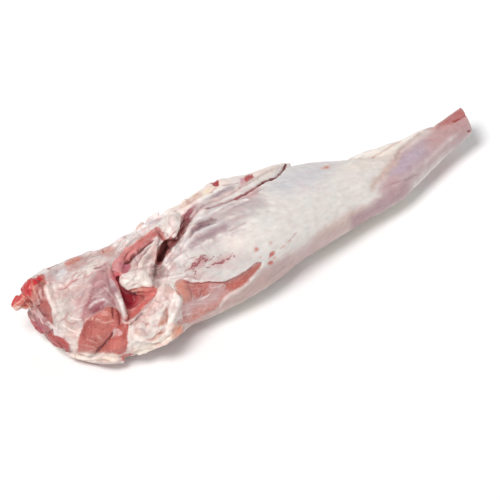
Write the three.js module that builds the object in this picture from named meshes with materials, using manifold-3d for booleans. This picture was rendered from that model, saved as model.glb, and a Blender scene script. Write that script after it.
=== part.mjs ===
import * as THREE from "three";
import { mergeVertices } from "three/addons/utils/BufferGeometryUtils.js";
import Module from "manifold-3d";

// A raw goat leg lying on its side, in mm with +Z up: the hip cut at low X, the sawn shank end at high X.

// Driving sizes of the whole leg
const LEG_LENGTH = 463; // hip cut to sawn shank end, without the bone that stands out of the cut
const THIGH_WIDTH = 118; // widest across the thigh
const THIGH_HEIGHT = 92; // thigh before its underside is flattened on the table
const ROUNDNESS = 2.15; // power of the rounded sections, 2 is an ellipse
const AXIS_HEIGHT = 45; // height of the line the shown side is measured from
const BONE_GAP = 0.3; // between a bone and the meat round it
const SMALLEST_STEP = 0.05; // relief below this is levelled out

// The shown side is measured as an eye sees it: s along the leg, t across it, h towards the eye
const FACE_LEAN = THREE.MathUtils.degToRad(40); // how far the across direction rises from level
const LOOK_ALONG = THREE.MathUtils.degToRad(22.4); // how far the eye is swung towards the hip end

// Resolution of the body
const AROUND = 52;
const ALONG = 56;
const END_RINGS = [0.4, 0.68, 0.88];
const END_BULGE = 5;

// Sections from the hip cut to the shank end: place along, centre to the side, half width, half height, centre height
const SECTIONS = [
  { at: 0, side: 2, width: 34, height: 27, centre: 40 },
  { at: 14, side: -3, width: 46, height: 32, centre: 38 },
  { at: 40, side: -12, width: 58, height: 37, centre: 36 },
  { at: 105, side: -19, width: 58, height: 42, centre: 39 },
  { at: 190, side: -18, width: THIGH_WIDTH / 2, height: THIGH_HEIGHT / 2, centre: 42 },
  { at: 261, side: -10, width: 48, height: 40, centre: 38.5 },
  { at: 313, side: -9, width: 37, height: 31, centre: 34 },
  { at: 367, side: -13, width: 23, height: 21.5, centre: 30.5 },
  { at: 394, side: -7.5, width: 18, height: 17.5, centre: 29 },
  { at: 427, side: 2, width: 15, height: 15, centre: 30 },
  { at: LEG_LENGTH, side: 11, width: 13, height: 12.5, centre: 34 },
];

// Muscles that swell out of the shown side (+) and hollows in it (-): middle, half lengths, height, turn in degrees
const SWELLS = [
  { s: 60, t: 0, along: 15, across: 26, height: 5, turn: -10 },
  { s: 36, t: -36, along: 22, across: 17, height: 6, turn: 20 },
  { s: 22, t: 4, along: 16, across: 28, height: -4, turn: 0 },
  { s: 104, t: -48, along: 22, across: 18, height: 4, turn: 0 },
  { s: 150, t: -44, along: 26, across: 14, height: -3, turn: -10 },
  { s: 330, t: -18, along: 40, across: 7, height: -3, turn: 14 },
];
// Seams between muscles on the shown side: two ends, half width, depth
const SEAMS = [
  { from: [61, -35], to: [29, -55], halfWidth: 7, depth: 6 },
  { from: [114, -3], to: [103, -19], halfWidth: 5, depth: 5 },
  { from: [330, -20], to: [362, 0], halfWidth: 7, depth: 2.5 },
];
// Seams between muscles on the far side: angle round the section at the hip end and the shank end, half width, depth
const FAR_SEAMS = [
  { hip: 0.95, shank: 0.35, halfWidth: 0.13, depth: 4 },
  { hip: -0.3, shank: 0.0, halfWidth: 0.12, depth: 3 },
];

const wasm = await Module();
wasm.setup();

const faceAcross = new THREE.Vector3(0, Math.cos(FACE_LEAN), Math.sin(FACE_LEAN));
const faceOut = new THREE.Vector3(0, -Math.sin(FACE_LEAN), Math.cos(FACE_LEAN));
const legAlong = new THREE.Vector3(1, 0, 0);
const seenAlong = legAlong.clone().multiplyScalar(Math.cos(LOOK_ALONG)).addScaledVector(faceOut, Math.sin(LOOK_ALONG));
const seenOut = faceOut.clone().multiplyScalar(Math.cos(LOOK_ALONG)).addScaledVector(legAlong, -Math.sin(LOOK_ALONG));
const fromSeen = new THREE.Matrix4().makeBasis(seenAlong, faceAcross, seenOut).setPosition(0, 0, AXIS_HEIGHT);
const toSeen = fromSeen.clone().invert();

// One size of the section at a place along the leg, by a smooth curve through the table
function sectionSize(name, x) {
  const last = SECTIONS.length - 1;
  let i = 0;
  while (i < last - 1 && x > SECTIONS[i + 1].at) {
    i += 1;
  }
  const slope = (k) => {
    const before = SECTIONS[Math.max(k - 1, 0)];
    const after = SECTIONS[Math.min(k + 1, last)];
    return (after[name] - before[name]) / (after.at - before.at);
  };
  const [a, b] = [SECTIONS[i], SECTIONS[i + 1]];
  const run = b.at - a.at;
  const f = THREE.MathUtils.clamp((x - a.at) / run, 0, 1);
  const ease = f * f * (3 - 2 * f);
  const lead = f * (1 - f) * (1 - f) * run * slope(i);
  const trail = f * f * (f - 1) * run * slope(i + 1);
  return a[name] + (b[name] - a[name]) * ease + lead + trail;
}

function sectionAt(x) {
  return {
    side: sectionSize("side", x),
    width: sectionSize("width", x),
    height: sectionSize("height", x),
    centre: sectionSize("centre", x),
  };
}

// Greater than 0 inside the plain body, less than 0 outside it
function insideBody(point) {
  const section = sectionAt(point.x);
  const y = Math.abs((point.y - section.side) / section.width);
  const z = Math.abs((point.z - section.centre) / section.height);
  const round = 1 - Math.pow(Math.pow(y, ROUNDNESS) + Math.pow(z, ROUNDNESS), 1 / ROUNDNESS);
  const ends = Math.min(point.x + END_BULGE, LEG_LENGTH - point.x) / section.width;
  return Math.min(round, ends, point.z / section.height);
}

// Height towards the eye of a point that stands "out" above the leg's mid plane
function heightOf(s, out) {
  return (out - Math.sin(LOOK_ALONG) * s) / Math.cos(LOOK_ALONG);
}

// Place on the body's skin that the eye sees at (s, t): along the leg and angle round the section.
// Past the outline it is the place where the body comes nearest.
function skinPlace(s, t) {
  const point = new THREE.Vector3();
  const depth = (out) => insideBody(point.set(s, t, heightOf(s, out)).applyMatrix4(fromSeen));
  const step = 2;
  let out = 80;
  let best = out;
  let bestDepth = -Infinity;
  while (out > -60 && bestDepth <= 0) {
    out -= step;
    const here = depth(out);
    if (here > bestDepth) {
      bestDepth = here;
      best = out;
    }
  }
  let low = best;
  let high = best + step;
  for (let k = 0; k < 12 && bestDepth > 0; k += 1) {
    const middle = (low + high) / 2;
    if (depth(middle) > 0) {
      low = middle;
    } else {
      high = middle;
    }
  }
  depth(low);
  const section = sectionAt(point.x);
  const power = (v) => Math.sign(v) * Math.pow(Math.abs(v), ROUNDNESS / 2);
  const up = power((point.z - section.centre) / section.height);
  const sideways = power((point.y - section.side) / section.width);
  return new THREE.Vector2(point.x, Math.atan2(up, sideways));
}

function bell(distance, halfWidth) {
  return Math.exp(-((distance / halfWidth) ** 2));
}

function distanceToLine(s, t, from, to) {
  const line = new THREE.Line3(new THREE.Vector3(...from, 0), new THREE.Vector3(...to, 0));
  const point = new THREE.Vector3(s, t, 0);
  return line.closestPointToPoint(point, true, new THREE.Vector3()).distanceTo(point);
}

// Swells of the shown side at (s, t)
function shownSwell(s, t) {
  let height = 0;
  for (const swell of SWELLS) {
    const turn = THREE.MathUtils.degToRad(swell.turn);
    const along = (s - swell.s) * Math.cos(turn) + (t - swell.t) * Math.sin(turn);
    const across = (t - swell.t) * Math.cos(turn) - (s - swell.s) * Math.sin(turn);
    height += swell.height * bell(Math.hypot(along / swell.along, across / swell.across), 1);
  }
  return height;
}

function shownSeam(s, t) {
  let depth = 0;
  for (const seam of SEAMS) {
    depth += seam.depth * bell(distanceToLine(s, t, seam.from, seam.to), seam.halfWidth);
  }
  return depth;
}

function farRelief(x, angle) {
  let height = 0;
  for (const seam of FAR_SEAMS) {
    const middle = THREE.MathUtils.lerp(seam.hip, seam.shank, x / LEG_LENGTH);
    const fade = THREE.MathUtils.smoothstep(x, 20, 80) * (1 - THREE.MathUtils.smoothstep(x, 300, 390));
    height -= seam.depth * fade * bell(angle - middle, seam.halfWidth);
  }
  return height;
}

// A closed geometry as a solid for joining and cutting
function solidFrom(geometry) {
  const bare = geometry.clone();
  bare.deleteAttribute("normal");
  bare.deleteAttribute("uv");
  const merged = mergeVertices(bare, 1e-4);
  return new wasm.Manifold(
    new wasm.Mesh({
      numProp: 3,
      vertProperties: new Float32Array(merged.attributes.position.array),
      triVerts: new Uint32Array(merged.index.array),
    }),
  );
}

function meshFrom(solid, name, colour, roughness) {
  const built = solid.getMesh();
  const geometry = new THREE.BufferGeometry();
  geometry.setAttribute("position", new THREE.Float32BufferAttribute(built.vertProperties, 3));
  geometry.setIndex(new THREE.Uint32BufferAttribute(built.triVerts, 1));
  geometry.computeVertexNormals();
  const material = new THREE.MeshStandardMaterial({ color: colour, roughness, metalness: 0 });
  const mesh = new THREE.Mesh(geometry, material);
  mesh.name = name;
  return mesh;
}

// Moves every vertex of a geometry to where the function puts it
function reshape(geometry, place) {
  const positions = geometry.attributes.position;
  const point = new THREE.Vector3();
  for (let i = 0; i < positions.count; i += 1) {
    place(point.fromBufferAttribute(positions, i));
    positions.setXYZ(i, point.x, point.y, point.z);
  }
  return geometry;
}

// Point of the body's skin at a place along the leg and an angle round it; seams are left out where asked
function skin(x, angle, seams = true) {
  const section = sectionAt(x);
  const power = (v) => Math.sign(v) * Math.pow(Math.abs(v), 2 / ROUNDNESS);
  const round = new THREE.Vector3(0, section.width * power(Math.cos(angle)), section.height * power(Math.sin(angle)));
  const outward = round.clone().normalize();
  const point = new THREE.Vector3(x, section.side, section.centre).add(round);
  const seen = point.clone().applyMatrix4(toSeen);
  const facing = THREE.MathUtils.smoothstep(outward.dot(faceOut), -0.1, 0.35);
  const relief = shownSwell(seen.x, seen.y) - (seams ? shownSeam(seen.x, seen.y) : 0);
  point.addScaledVector(outward, facing * relief + (1 - facing) * farRelief(x, angle));
  point.z = Math.max(point.z, 0);
  return point;
}

function skinNormal(x, angle) {
  const reach = 2;
  const turn = reach / sectionAt(x).width;
  const ahead = skin(x + reach, angle, false).sub(skin(x - reach, angle, false));
  const around = skin(x, angle + turn, false).sub(skin(x, angle - turn, false));
  return around.cross(ahead).normalize();
}

// The body: a cylinder drawn out through the sections, its first rings gathered into the hip cut
function bodySolid() {
  const geometry = new THREE.CylinderGeometry(1, 1, 1, AROUND, ALONG + END_RINGS.length).rotateZ(-Math.PI / 2);
  reshape(geometry, (p) => {
    const ring = Math.round((p.x + 0.5) * (ALONG + END_RINGS.length));
    const onEnd = ring < END_RINGS.length;
    const radius = Math.hypot(p.y, p.z) * (onEnd ? END_RINGS[ring] : 1);
    const along = onEnd ? 0 : (ring - END_RINGS.length) / ALONG;
    const x = LEG_LENGTH * Math.pow(along, 1.12);
    const section = sectionAt(x);
    const rim = skin(x, Math.atan2(p.z, p.y));
    p.set(x, section.side, section.centre).lerp(rim, radius);
    if (onEnd) {
      p.x -= END_BULGE * (1 - radius * radius);
    }
  });
  return solidFrom(geometry);
}

// Smooth value along a list of numbers, u from 0 to 1
function valueAlong(values, u) {
  const curve = new THREE.SplineCurve(values.map((v, i) => new THREE.Vector2(i, v)));
  return curve.getPoint(u).y;
}

// A band of meat or fat lying on the skin along a line of (s, t) points. Its near edge (low t) and far edge
// lie "near" and "far" above the skin, and it is "thick" through its middle.
function bandSolid({ line, halfWidth, thick, near, far, steps = 14, stepsAcross = 4 }) {
  const curve = new THREE.SplineCurve(line.map((p) => skinPlace(...p)));
  const geometry = new THREE.BoxGeometry(1, 1, 1, steps, stepsAcross, 1);
  reshape(geometry, (p) => {
    const u = p.x + 0.5;
    const v = p.y * 2;
    const middle = curve.getPoint(u);
    const arm = (sectionAt(middle.x).width + sectionAt(middle.x).height) / 2;
    const ahead = curve.getTangent(u).multiply(new THREE.Vector2(1, arm)).normalize();
    const reach = valueAlong(halfWidth, u) * v;
    const x = middle.x + ahead.y * reach;
    const angle = middle.y - (ahead.x * reach) / arm;
    const swell = Math.sqrt(Math.max(1 - v * v * 0.75, 0));
    const lift = THREE.MathUtils.lerp(near, far, (v + 1) / 2) + p.z * valueAlong(thick, u) * swell;
    p.copy(skin(x, angle, false)).addScaledVector(skinNormal(x, angle), lift);
    p.z = Math.max(p.z, 0);
  });
  return solidFrom(geometry);
}

// A rounded lump on the shown side
function lumpSolid({ s, t, along, across, deep, lift, turn = 0 }) {
  const place = skinPlace(s, t);
  const middle = skin(place.x, place.y, false).applyMatrix4(toSeen);
  const geometry = new THREE.SphereGeometry(1, 14, 10);
  geometry.scale(along, across, deep).rotateZ(THREE.MathUtils.degToRad(turn));
  geometry.translate(s, t, middle.z + lift).applyMatrix4(fromSeen);
  return solidFrom(geometry);
}

// A closed smooth outline through (s, t) points
function outlineShape(outline) {
  const curve = new THREE.CatmullRomCurve3(outline.map(([s, t]) => new THREE.Vector3(s, t, 0)), true);
  const around = curve.getSpacedPoints(4 * outline.length).slice(0, -1);
  return new THREE.Shape(around.map((p) => new THREE.Vector2(p.x, p.y)));
}

// A flat piece with rounded edges, from one height over the leg's mid plane to another
function plateSolid({ outline, low, high, bevel }) {
  const geometry = new THREE.ExtrudeGeometry(outlineShape(outline), {
    depth: high - low - 2 * bevel,
    bevelEnabled: true,
    bevelSize: bevel,
    bevelThickness: bevel,
    bevelOffset: -bevel,
    bevelSegments: 3,
  });
  geometry.translate(0, 0, low + bevel);
  reshape(geometry, (p) => p.setZ(heightOf(p.x, p.z)));
  return solidFrom(geometry.applyMatrix4(fromSeen));
}

// The deep pocket where a bone was cut out, the cut meat that slopes into it, and the slot beside it
const POCKET = {
  outline: [[69, 3], [76, 4], [76, -6], [84, -15], [92, -20], [89, -26], [79, -29], [71, -28], [69, -12]],
  depth: 17,
  floor: 0.7,
};
const POCKET_SLOPE = {
  outline: [[70, 0], [80, -8], [101, -20], [99, -28], [84, -35], [66, -38], [68, -20]],
  depth: 6,
  floor: 0.6,
};
const SLOT = {
  outline: [
    [111, -1], [119, -4], [128, 5], [143, 12], [152, 20], [165, 32],
    [158, 33], [146, 23], [136, 15], [126, 14], [117, 9],
  ],
  depth: 18,
  floor: 0.8,
};

// What is cut away for a hollow: its outline at the skin, drawn in to a smaller floor
function hollowSolid({ outline, depth, floor }) {
  const heights = outline.map(([s, t]) => {
    const place = skinPlace(s, t);
    return skin(place.x, place.y, false).sub(new THREE.Vector3(0, 0, AXIS_HEIGHT)).dot(faceOut);
  });
  const mean = heights.reduce((sum, height) => sum + height, 0) / heights.length;
  const above = Math.max(...heights) - mean + 25;
  const middle = outline.reduce((sum, [s, t]) => sum.add(new THREE.Vector2(s, t)), new THREE.Vector2());
  middle.divideScalar(outline.length);
  const geometry = new THREE.ExtrudeGeometry(outlineShape(outline), {
    depth: depth + above,
    steps: 8,
    bevelEnabled: false,
  });
  reshape(geometry, (p) => {
    const down = THREE.MathUtils.clamp(1 - p.z / depth, 0, 1);
    const size = THREE.MathUtils.lerp(1, floor, down * down);
    const s = middle.x + (p.x - middle.x) * size;
    const t = middle.y + (p.y - middle.y) * size;
    p.set(s, t, heightOf(s, mean - depth + p.z));
  });
  return solidFrom(geometry.applyMatrix4(fromSeen));
}

// Loose bands, folds and lumps that stand on the body
const FLANK_STRIP = {
  line: [[150, 31], [170, 33], [190, 34.5], [215, 33.5], [240, 33], [261, 33.5]],
  halfWidth: [6, 9, 10, 8, 5.5, 1.2],
  thick: [8, 8, 7, 6, 5, 3],
  near: 4,
  far: 0.5,
};
const FOLD = {
  line: [[74, 4], [79, 13], [90, 21], [108, 25], [127, 29]],
  halfWidth: [4, 5, 4.5, 4, 3],
  thick: [6, 11, 12, 11, 8],
  near: 0,
  far: 0,
};
const SLOT_FIN = {
  line: [[100, -8], [105, 6], [114, 15], [125, 25]],
  halfWidth: [7, 8, 6, 2.5],
  thick: [7, 7, 6, 5],
  near: 2,
  far: 1,
};
const POCKET_LIP = {
  line: [[70, 12], [66.5, 2], [66, -14], [64.5, -36]],
  halfWidth: [2, 2.2, 2.8, 1.8],
  thick: [7, 8, 8, 6],
  near: 1,
  far: 1,
};
const FAT_FLAP = {
  line: [[110, -22], [104, -34], [92, -48], [80, -62]],
  halfWidth: [5, 11, 17, 19],
  thick: [8, 11, 12, 10],
  near: 0,
  far: 0,
};
const BOTTOM_RIM = {
  line: [[5, -47], [12, -52], [25, -57], [37, -63], [48, -69]],
  halfWidth: [3, 4, 4.5, 4.5, 3],
  thick: [7, 9, 10, 10, 8],
  near: 0,
  far: 0.5,
};
const FAT_LUMPS = [
  { s: 83, t: -4, along: 9, across: 7, deep: 8, lift: 0 },
  { s: 93, t: -8, along: 10, across: 9, deep: 9, lift: -1, turn: -25 },
  { s: 97, t: -15, along: 7, across: 6, deep: 7, lift: -1 },
  { s: 140, t: 25, along: 7, across: 13, deep: 9, lift: 1, turn: -32 },
];
// The tendon and its web along the top of the shank
const TENDON_WEB = {
  outline: [[296, 8], [315, 13], [340, 11.5], [368, 9.5], [392, 10], [402, 5], [385, -4], [345, -8], [308, -2]],
  low: -8,
  high: -2,
  bevel: 2.4,
};

// The bone that stands out of the hip cut: a knuckle, a hooked lobe below it and a root set in the meat
const HIP_BONE = [
  { s: 0, t: 22, out: 2, along: 12, across: 12.5, deep: 14, turn: 24 },
  { s: -16, t: 18, out: -6, along: 11, across: 6, deep: 9, turn: 30 },
  { s: 14, t: 16, out: -8, along: 16, across: 9, deep: 10, turn: -6 },
];
const BONE_SQUARE = 0.8; // power that squares the lobes off, 1 is an ellipsoid

function hipBoneSolid(grow) {
  const square = (v) => Math.sign(v) * Math.pow(Math.abs(v), BONE_SQUARE);
  const lobes = HIP_BONE.map(({ s, t, out, along, across, deep, turn }) => {
    const geometry = new THREE.SphereGeometry(1, 18, 12);
    reshape(geometry, (p) => p.set(square(p.x), square(p.y), square(p.z)));
    geometry.scale(along + grow, across + grow, deep + grow).rotateZ(THREE.MathUtils.degToRad(turn));
    geometry.translate(s, t, heightOf(s, out)).applyMatrix4(fromSeen);
    return solidFrom(geometry);
  });
  return lobes.reduce((all, lobe) => all.add(lobe));
}

// The bone sawn through at the shank end, its cut face level with the meat's
const SHANK_BONE = { radius: 7.2, length: 30, flatten: 0.85, side: 1, up: 1 };

function shankBoneSolid(grow) {
  const { radius, length, flatten, side, up } = SHANK_BONE;
  const section = sectionAt(LEG_LENGTH);
  const before = sectionAt(LEG_LENGTH - length);
  const geometry = new THREE.CylinderGeometry(radius + grow, radius * 0.9 + grow, length + grow, 28, 4);
  geometry.rotateZ(-Math.PI / 2).scale(1, 1, flatten);
  const past = grow > 0 ? 1 : 0; // the socket's cutter runs past the sawn face
  reshape(geometry, (p) => {
    const inward = (length + grow) / 2 - p.x;
    const back = inward < 1e-6 ? -past : inward;
    const f = back / length;
    p.x = LEG_LENGTH - back;
    p.y += THREE.MathUtils.lerp(section.side, before.side, f) + side;
    p.z += THREE.MathUtils.lerp(section.centre, before.centre, f) + up;
  });
  return solidFrom(geometry);
}

let leg = bodySolid();
leg = leg.add(bandSolid(FAT_FLAP)).add(bandSolid(BOTTOM_RIM)).add(plateSolid(TENDON_WEB));
for (const hollow of [POCKET_SLOPE, POCKET, SLOT]) {
  leg = leg.subtract(hollowSolid(hollow));
}
for (const band of [FLANK_STRIP, FOLD, SLOT_FIN, POCKET_LIP]) {
  leg = leg.add(bandSolid(band));
}
for (const lump of FAT_LUMPS) {
  leg = leg.add(lumpSolid(lump));
}
leg = leg.subtract(hipBoneSolid(BONE_GAP)).subtract(shankBoneSolid(BONE_GAP));
const pieces = leg.simplify(SMALLEST_STEP).decompose().sort((a, b) => b.volume() - a.volume());

const part = new THREE.Group();
part.name = "goat_leg";
part.add(meshFrom(pieces[0], "leg", 0xd9c4be, 0.45));
part.add(meshFrom(hipBoneSolid(0), "hip_bone", 0xc0574a, 0.5));
part.add(meshFrom(shankBoneSolid(0), "shank_bone", 0xe6d3c4, 0.5));

// The leg stands with the middle of its box over the origin and its flat underside on z = 0
const box = new THREE.Box3().setFromObject(part);
const middle = box.getCenter(new THREE.Vector3());
part.position.set(-middle.x, -middle.y, -box.min.z);

export default part;
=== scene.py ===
# A raw goat leg: a trimmed thigh with torn fat and film over cut muscle, a hip bone's end, and a sawn shank
import math

import bmesh
import bpy
import numpy as np
from mathutils import Matrix, Vector
from mathutils.bvhtree import BVHTree


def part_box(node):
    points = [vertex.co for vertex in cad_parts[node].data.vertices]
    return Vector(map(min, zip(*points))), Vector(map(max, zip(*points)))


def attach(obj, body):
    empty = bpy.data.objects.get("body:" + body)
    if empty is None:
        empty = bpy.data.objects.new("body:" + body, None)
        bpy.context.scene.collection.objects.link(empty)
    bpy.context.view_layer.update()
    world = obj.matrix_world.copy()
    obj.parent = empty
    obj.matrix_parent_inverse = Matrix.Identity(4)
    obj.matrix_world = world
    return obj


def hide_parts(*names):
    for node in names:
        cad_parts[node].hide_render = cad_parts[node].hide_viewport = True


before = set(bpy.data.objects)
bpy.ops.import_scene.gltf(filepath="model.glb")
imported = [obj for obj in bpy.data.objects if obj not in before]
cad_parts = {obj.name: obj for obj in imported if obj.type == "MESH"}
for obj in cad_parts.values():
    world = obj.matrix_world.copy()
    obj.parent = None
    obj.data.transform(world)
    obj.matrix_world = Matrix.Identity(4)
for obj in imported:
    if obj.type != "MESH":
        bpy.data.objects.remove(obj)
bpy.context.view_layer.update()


# The leg: raw muscle under a whitish film, with white fat left on it in flaps and lumps. It was trimmed and
# torn at the hip end, where a bone was cut out. It narrows past the tendon to a shank that was sawn off.
MM = 0.001
MESH_STEP = 0.00105
HIP_CUT_TO_SAW = 0.463
LOW_SIDE_TO_AXIS = 0.0828
AXIS_HEIGHT = 0.045
leg_low, leg_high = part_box("leg")
hip_cut = leg_high.x - HIP_CUT_TO_SAW
axis_side = leg_low.y + LOW_SIDE_TO_AXIS

# The shown side is laid out as an eye over it sees it, in mm: along the leg, across it, and towards the eye
FACE_LEAN = math.radians(40)
LOOK_ALONG = math.radians(22.4)
face_out = Vector((0, -math.sin(FACE_LEAN), math.cos(FACE_LEAN)))
seen_across = Vector((0, math.cos(FACE_LEAN), math.sin(FACE_LEAN)))
seen_along = Vector((math.cos(LOOK_ALONG), 0, 0)) + math.sin(LOOK_ALONG) * face_out
seen_out = math.cos(LOOK_ALONG) * face_out - Vector((math.sin(LOOK_ALONG), 0, 0))
seen_axes = np.array([seen_along, seen_across, seen_out])
seen_origin = np.array([hip_cut, axis_side, AXIS_HEIGHT])


def as_seen(points):
    return (points - seen_origin) @ seen_axes.T / MM


def from_seen(along, across, out):
    return Vector(seen_origin + np.array([along, across, out]) * MM @ seen_axes)


EYE_HEIGHT = 400
leg_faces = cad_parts["leg"].data
leg_corners = [vertex.co for vertex in leg_faces.vertices]
leg_tree = BVHTree.FromPolygons(leg_corners, [face.vertices[:] for face in leg_faces.polygons])


def on_skin(along, across, lift):
    """The place on the shown side's skin, seen at these mm, and lifted off it towards the eye."""
    hit = leg_tree.ray_cast(from_seen(along, across, EYE_HEIGHT), -seen_out)[0]
    if hit is None:
        # Past the outline there is no skin, so the place is halfway out from the nearest skin
        middle = from_seen(along, across, -math.tan(LOOK_ALONG) * along)
        hit = leg_tree.find_nearest(middle)[0]
        hit = hit + (middle - hit) * 0.5
    return hit + seen_out * lift * MM


def place_of(place, lift):
    """A place with its own height towards the eye, or else one on the skin, lifted off it."""
    return from_seen(*place) if len(place) == 3 else on_skin(*place, lift)


def node_shape(node):
    shape = bmesh.new()
    shape.from_mesh(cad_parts[node].data)
    return shape


EGG_OVERLAP = 0.8


def strand(shape, path, radius):
    """Adds a row of overlapping egg shapes along a path, to be melted into one skin with the rest."""
    for start, end in zip(path, path[1:]):
        run = end - start
        turn = run.to_track_quat("Z", "Y").to_matrix().to_4x4()
        size = Matrix.Diagonal((radius, radius, run.length / 2 + EGG_OVERLAP * radius, 1))
        middle = Matrix.Translation((start + end) / 2)
        bmesh.ops.create_icosphere(shape, subdivisions=2, radius=1, matrix=middle @ turn @ size)


# Shreds of fat and film that stand out, such as the strap, the lump, the nub and the frills on the edges:
# radius, lift, and the places that each runs through
SHREDS = [
    (4.5, 1, [(134, 20), (139, 24), (143, 30)]),
    (3.6, 0, [(136.5, 16.5, -17.5), (139, 22, -16.5), (143, 29, -17)]),
    (3, 0, [(134, 17.5, -14.5), (137, 15, -14.5), (140, 18, -14.5)]),
    (4, 0, [(117, -33, 23), (117, -41, 23), (113.8, -47.8, 22.5)]),
    (3.8, 0, [(113.8, -47.8, 22.5), (107, -53.8, 22), (99.5, -59.6, 21)]),
    (3.8, 0, [(112.5, -37, 22.5), (111.5, -43.5, 22.8), (107.5, -49.8, 22.3)]),
    (2.8, 0, [(79, -8, 16.5), (84, -11, 15.5), (90, -14, 16)]),
    (2.8, 0, [(78.5, -9.5, 16), (82, -12, 15.5), (87, -13.5, 15.5)]),
    (2.4, 0, [(79.5, -11, 15.5), (83, -13.2, 15), (87.5, -14.8, 15)]),
    (3.4, 0, [(80, -13, 12), (85.5, -15.4, 13), (91, -18, 14), (98, -21.5, 15)]),
    (3, 0, [(84, -18.5, 6.5), (91, -22, 10.5), (99, -25, 12.5)]),
    (3.5, 0, [(84, -21.5, 1), (88, -23.5, 4.5), (93, -26.5, 8)]),
    (4, 0, [(131, 9.5, -24), (136, 12.5, -21.5), (141, 15, -21)]),
    (3.6, 0, [(141, 15, -21), (146, 18.5, -23.5), (150, 22.5, -28)]),
    (3.2, 0, [(150, 22.5, -29), (154, 26, -34), (159, 29.5, -36)]),
    (2.6, 0, [(-13.5, 6, -24), (-14, -1, -23), (-12.5, -9, -19), (-10, -16, -15)]),
    (2.8, 0, [(80, -69.5, 9), (86, -70.5, 11), (92, -70.5, 11), (96, -69, 12)]),
    (2, 0, [(62, -69.5, 6), (67, -70.5, 5), (73, -71, 3)]),
    (3.8, 1, [(141.5, 19.2), (146.5, 26.2), (149.5, 32.4)]),
    (2.2, 0, [(58, -67), (66, -69)]),
    (2.4, 0, [(66, -69), (73, -70), (80, -70)]),
    (2, 0.5, [(80, -70), (87, -71)]),
    (2.6, 0, [(86, -69), (93, -70), (98, -68)]),
    (2.2, 0.5, [(97, -66), (103, -64)]),
    (1.6, 0.5, [(108, 33), (113, 36), (117, 36)]),
    (1.8, 0, [(126, 36), (134, 38)]),
    (2, 0, [(138, 38), (146, 39), (152, 38)]),
    (1.7, 0.5, [(154, 39), (162, 41)]),
    (1.8, 0, [(120, 37, -58), (126, 39, -58.5), (132, 39.5, -59)]),
    (1.6, 0, [(108, 35, -50), (112, 37, -49), (116, 37, -53)]),
    (1.6, 0, [(206, 40), (214, 40)]),
    (1.5, 0, [(36, 33), (44, 34), (50, 33)]),
    (1.3, 0.5, [(104, 31), (98, 28), (90, 26)]),
    (1.5, 0.8, [(64, -44), (70, -42.5), (75, -41)]),
    (2.6, 0, [(-10, 2, -13), (-9.5, 8, -8), (-8.5, 13, 1)]),
    (2.8, 0, [(-5, 3, -1.5), (-4.5, 9, 2), (-3.5, 14, 8)]),
    (2.8, 0, [(0, 5, 7), (0.5, 10, 8), (1, 16, 12)]),
    (2.6, 0, [(4, 8, 13), (5, 14, 13.5), (6, 21, 14.5)]),
    (2.4, 0, [(9, 8, 15.5), (10, 15, 14), (11, 22, 12.5)]),
    (2.2, 0, [(12, 12, 14), (13.5, 20, 9), (13, 27, 5)]),
    (1.4, 0.3, [(60, 33), (68, 34), (74, 33)]),
    (1.3, 0.3, [(80, 31), (88, 33), (94, 33)]),
    (1.4, 0.5, [(48, -68), (54, -69.5), (60, -69)]),
    (1.3, 0.5, [(104, -66), (110, -66), (113, -65)]),
    (1.6, 0.8, [(69, -70.5), (72, -72), (75, -71)]),
    (1.5, 0.8, [(78, -71), (81, -72.8), (84, -71.4)]),
    (1.5, 0.8, [(86, -71.4), (89, -73), (92, -71.5)]),
    (1.4, 0.8, [(95, -70.5), (97.5, -71.6), (100, -69.5)]),
]
leg_shape = node_shape("leg")
for radius, lift, path in SHREDS:
    strand(leg_shape, [place_of(place, lift) for place in path], radius * MM)


def applied(piece):
    """Turns a piece's modifiers into its mesh."""
    evaluated = piece.evaluated_get(bpy.context.evaluated_depsgraph_get())
    mesh = bpy.data.meshes.new_from_object(evaluated)
    mesh.name = piece.name
    piece.modifiers.clear()
    piece.data = mesh
    mesh.shade_smooth()
    return mesh


def mesh_rows(items, field, columns=3, kind=float):
    """One value of all points or edges of a mesh, with a row for each."""
    values = np.empty(len(items) * columns, dtype=kind)
    items.foreach_get(field, values)
    return values.reshape(-1, columns)


def get_edges(mesh):
    return mesh_rows(mesh.edges, "vertices", 2, np.int64)


def drop_bubbles(mesh):
    """Keeps the outer skin, and drops small skins that were closed in between the melted shapes."""
    edges = get_edges(mesh)
    label = np.arange(len(mesh.vertices))
    before = None
    while not np.array_equal(label, before):
        before = label.copy()
        np.minimum.at(label, edges[:, 0], before[edges[:, 1]])
        np.minimum.at(label, edges[:, 1], before[edges[:, 0]])
        label = label[label]
    outer = np.bincount(label).argmax()
    shape = bmesh.new()
    shape.from_mesh(mesh)
    shape.verts.ensure_lookup_table()
    bubbles = [shape.verts[i] for i in np.flatnonzero(label != outer)]
    bmesh.ops.delete(shape, geom=bubbles, context="VERTS")
    shape.to_mesh(mesh)
    shape.free()


def even_piece(name, shape, step):
    """A new piece from a closed shape, melted into one skin of small even faces."""
    mesh = bpy.data.meshes.new(name)
    shape.to_mesh(mesh)
    shape.free()
    piece = bpy.data.objects.new(name, mesh)
    bpy.context.scene.collection.objects.link(piece)
    remesh = piece.modifiers.new("even faces", "REMESH")
    remesh.mode = "VOXEL"
    remesh.voxel_size = step
    drop_bubbles(applied(piece))
    return piece


def near_mean(values, edges):
    """The mean of each point's neighbours."""
    count = len(values)
    ends = np.concatenate([edges[:, 0], edges[:, 1]])
    others = np.concatenate([edges[:, 1], edges[:, 0]])
    share = np.maximum(np.bincount(ends, minlength=count), 1)
    columns = values.reshape(count, -1).T
    sums = [np.bincount(ends, weights=column[others], minlength=count) / share for column in columns]
    return np.stack(sums, axis=1).reshape(values.shape)


def blurred(values, edges, rounds):
    for _ in range(rounds):
        values = near_mean(values, edges)
    return values


STEP_IN = 0.55
STEP_OUT = -0.57


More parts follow.
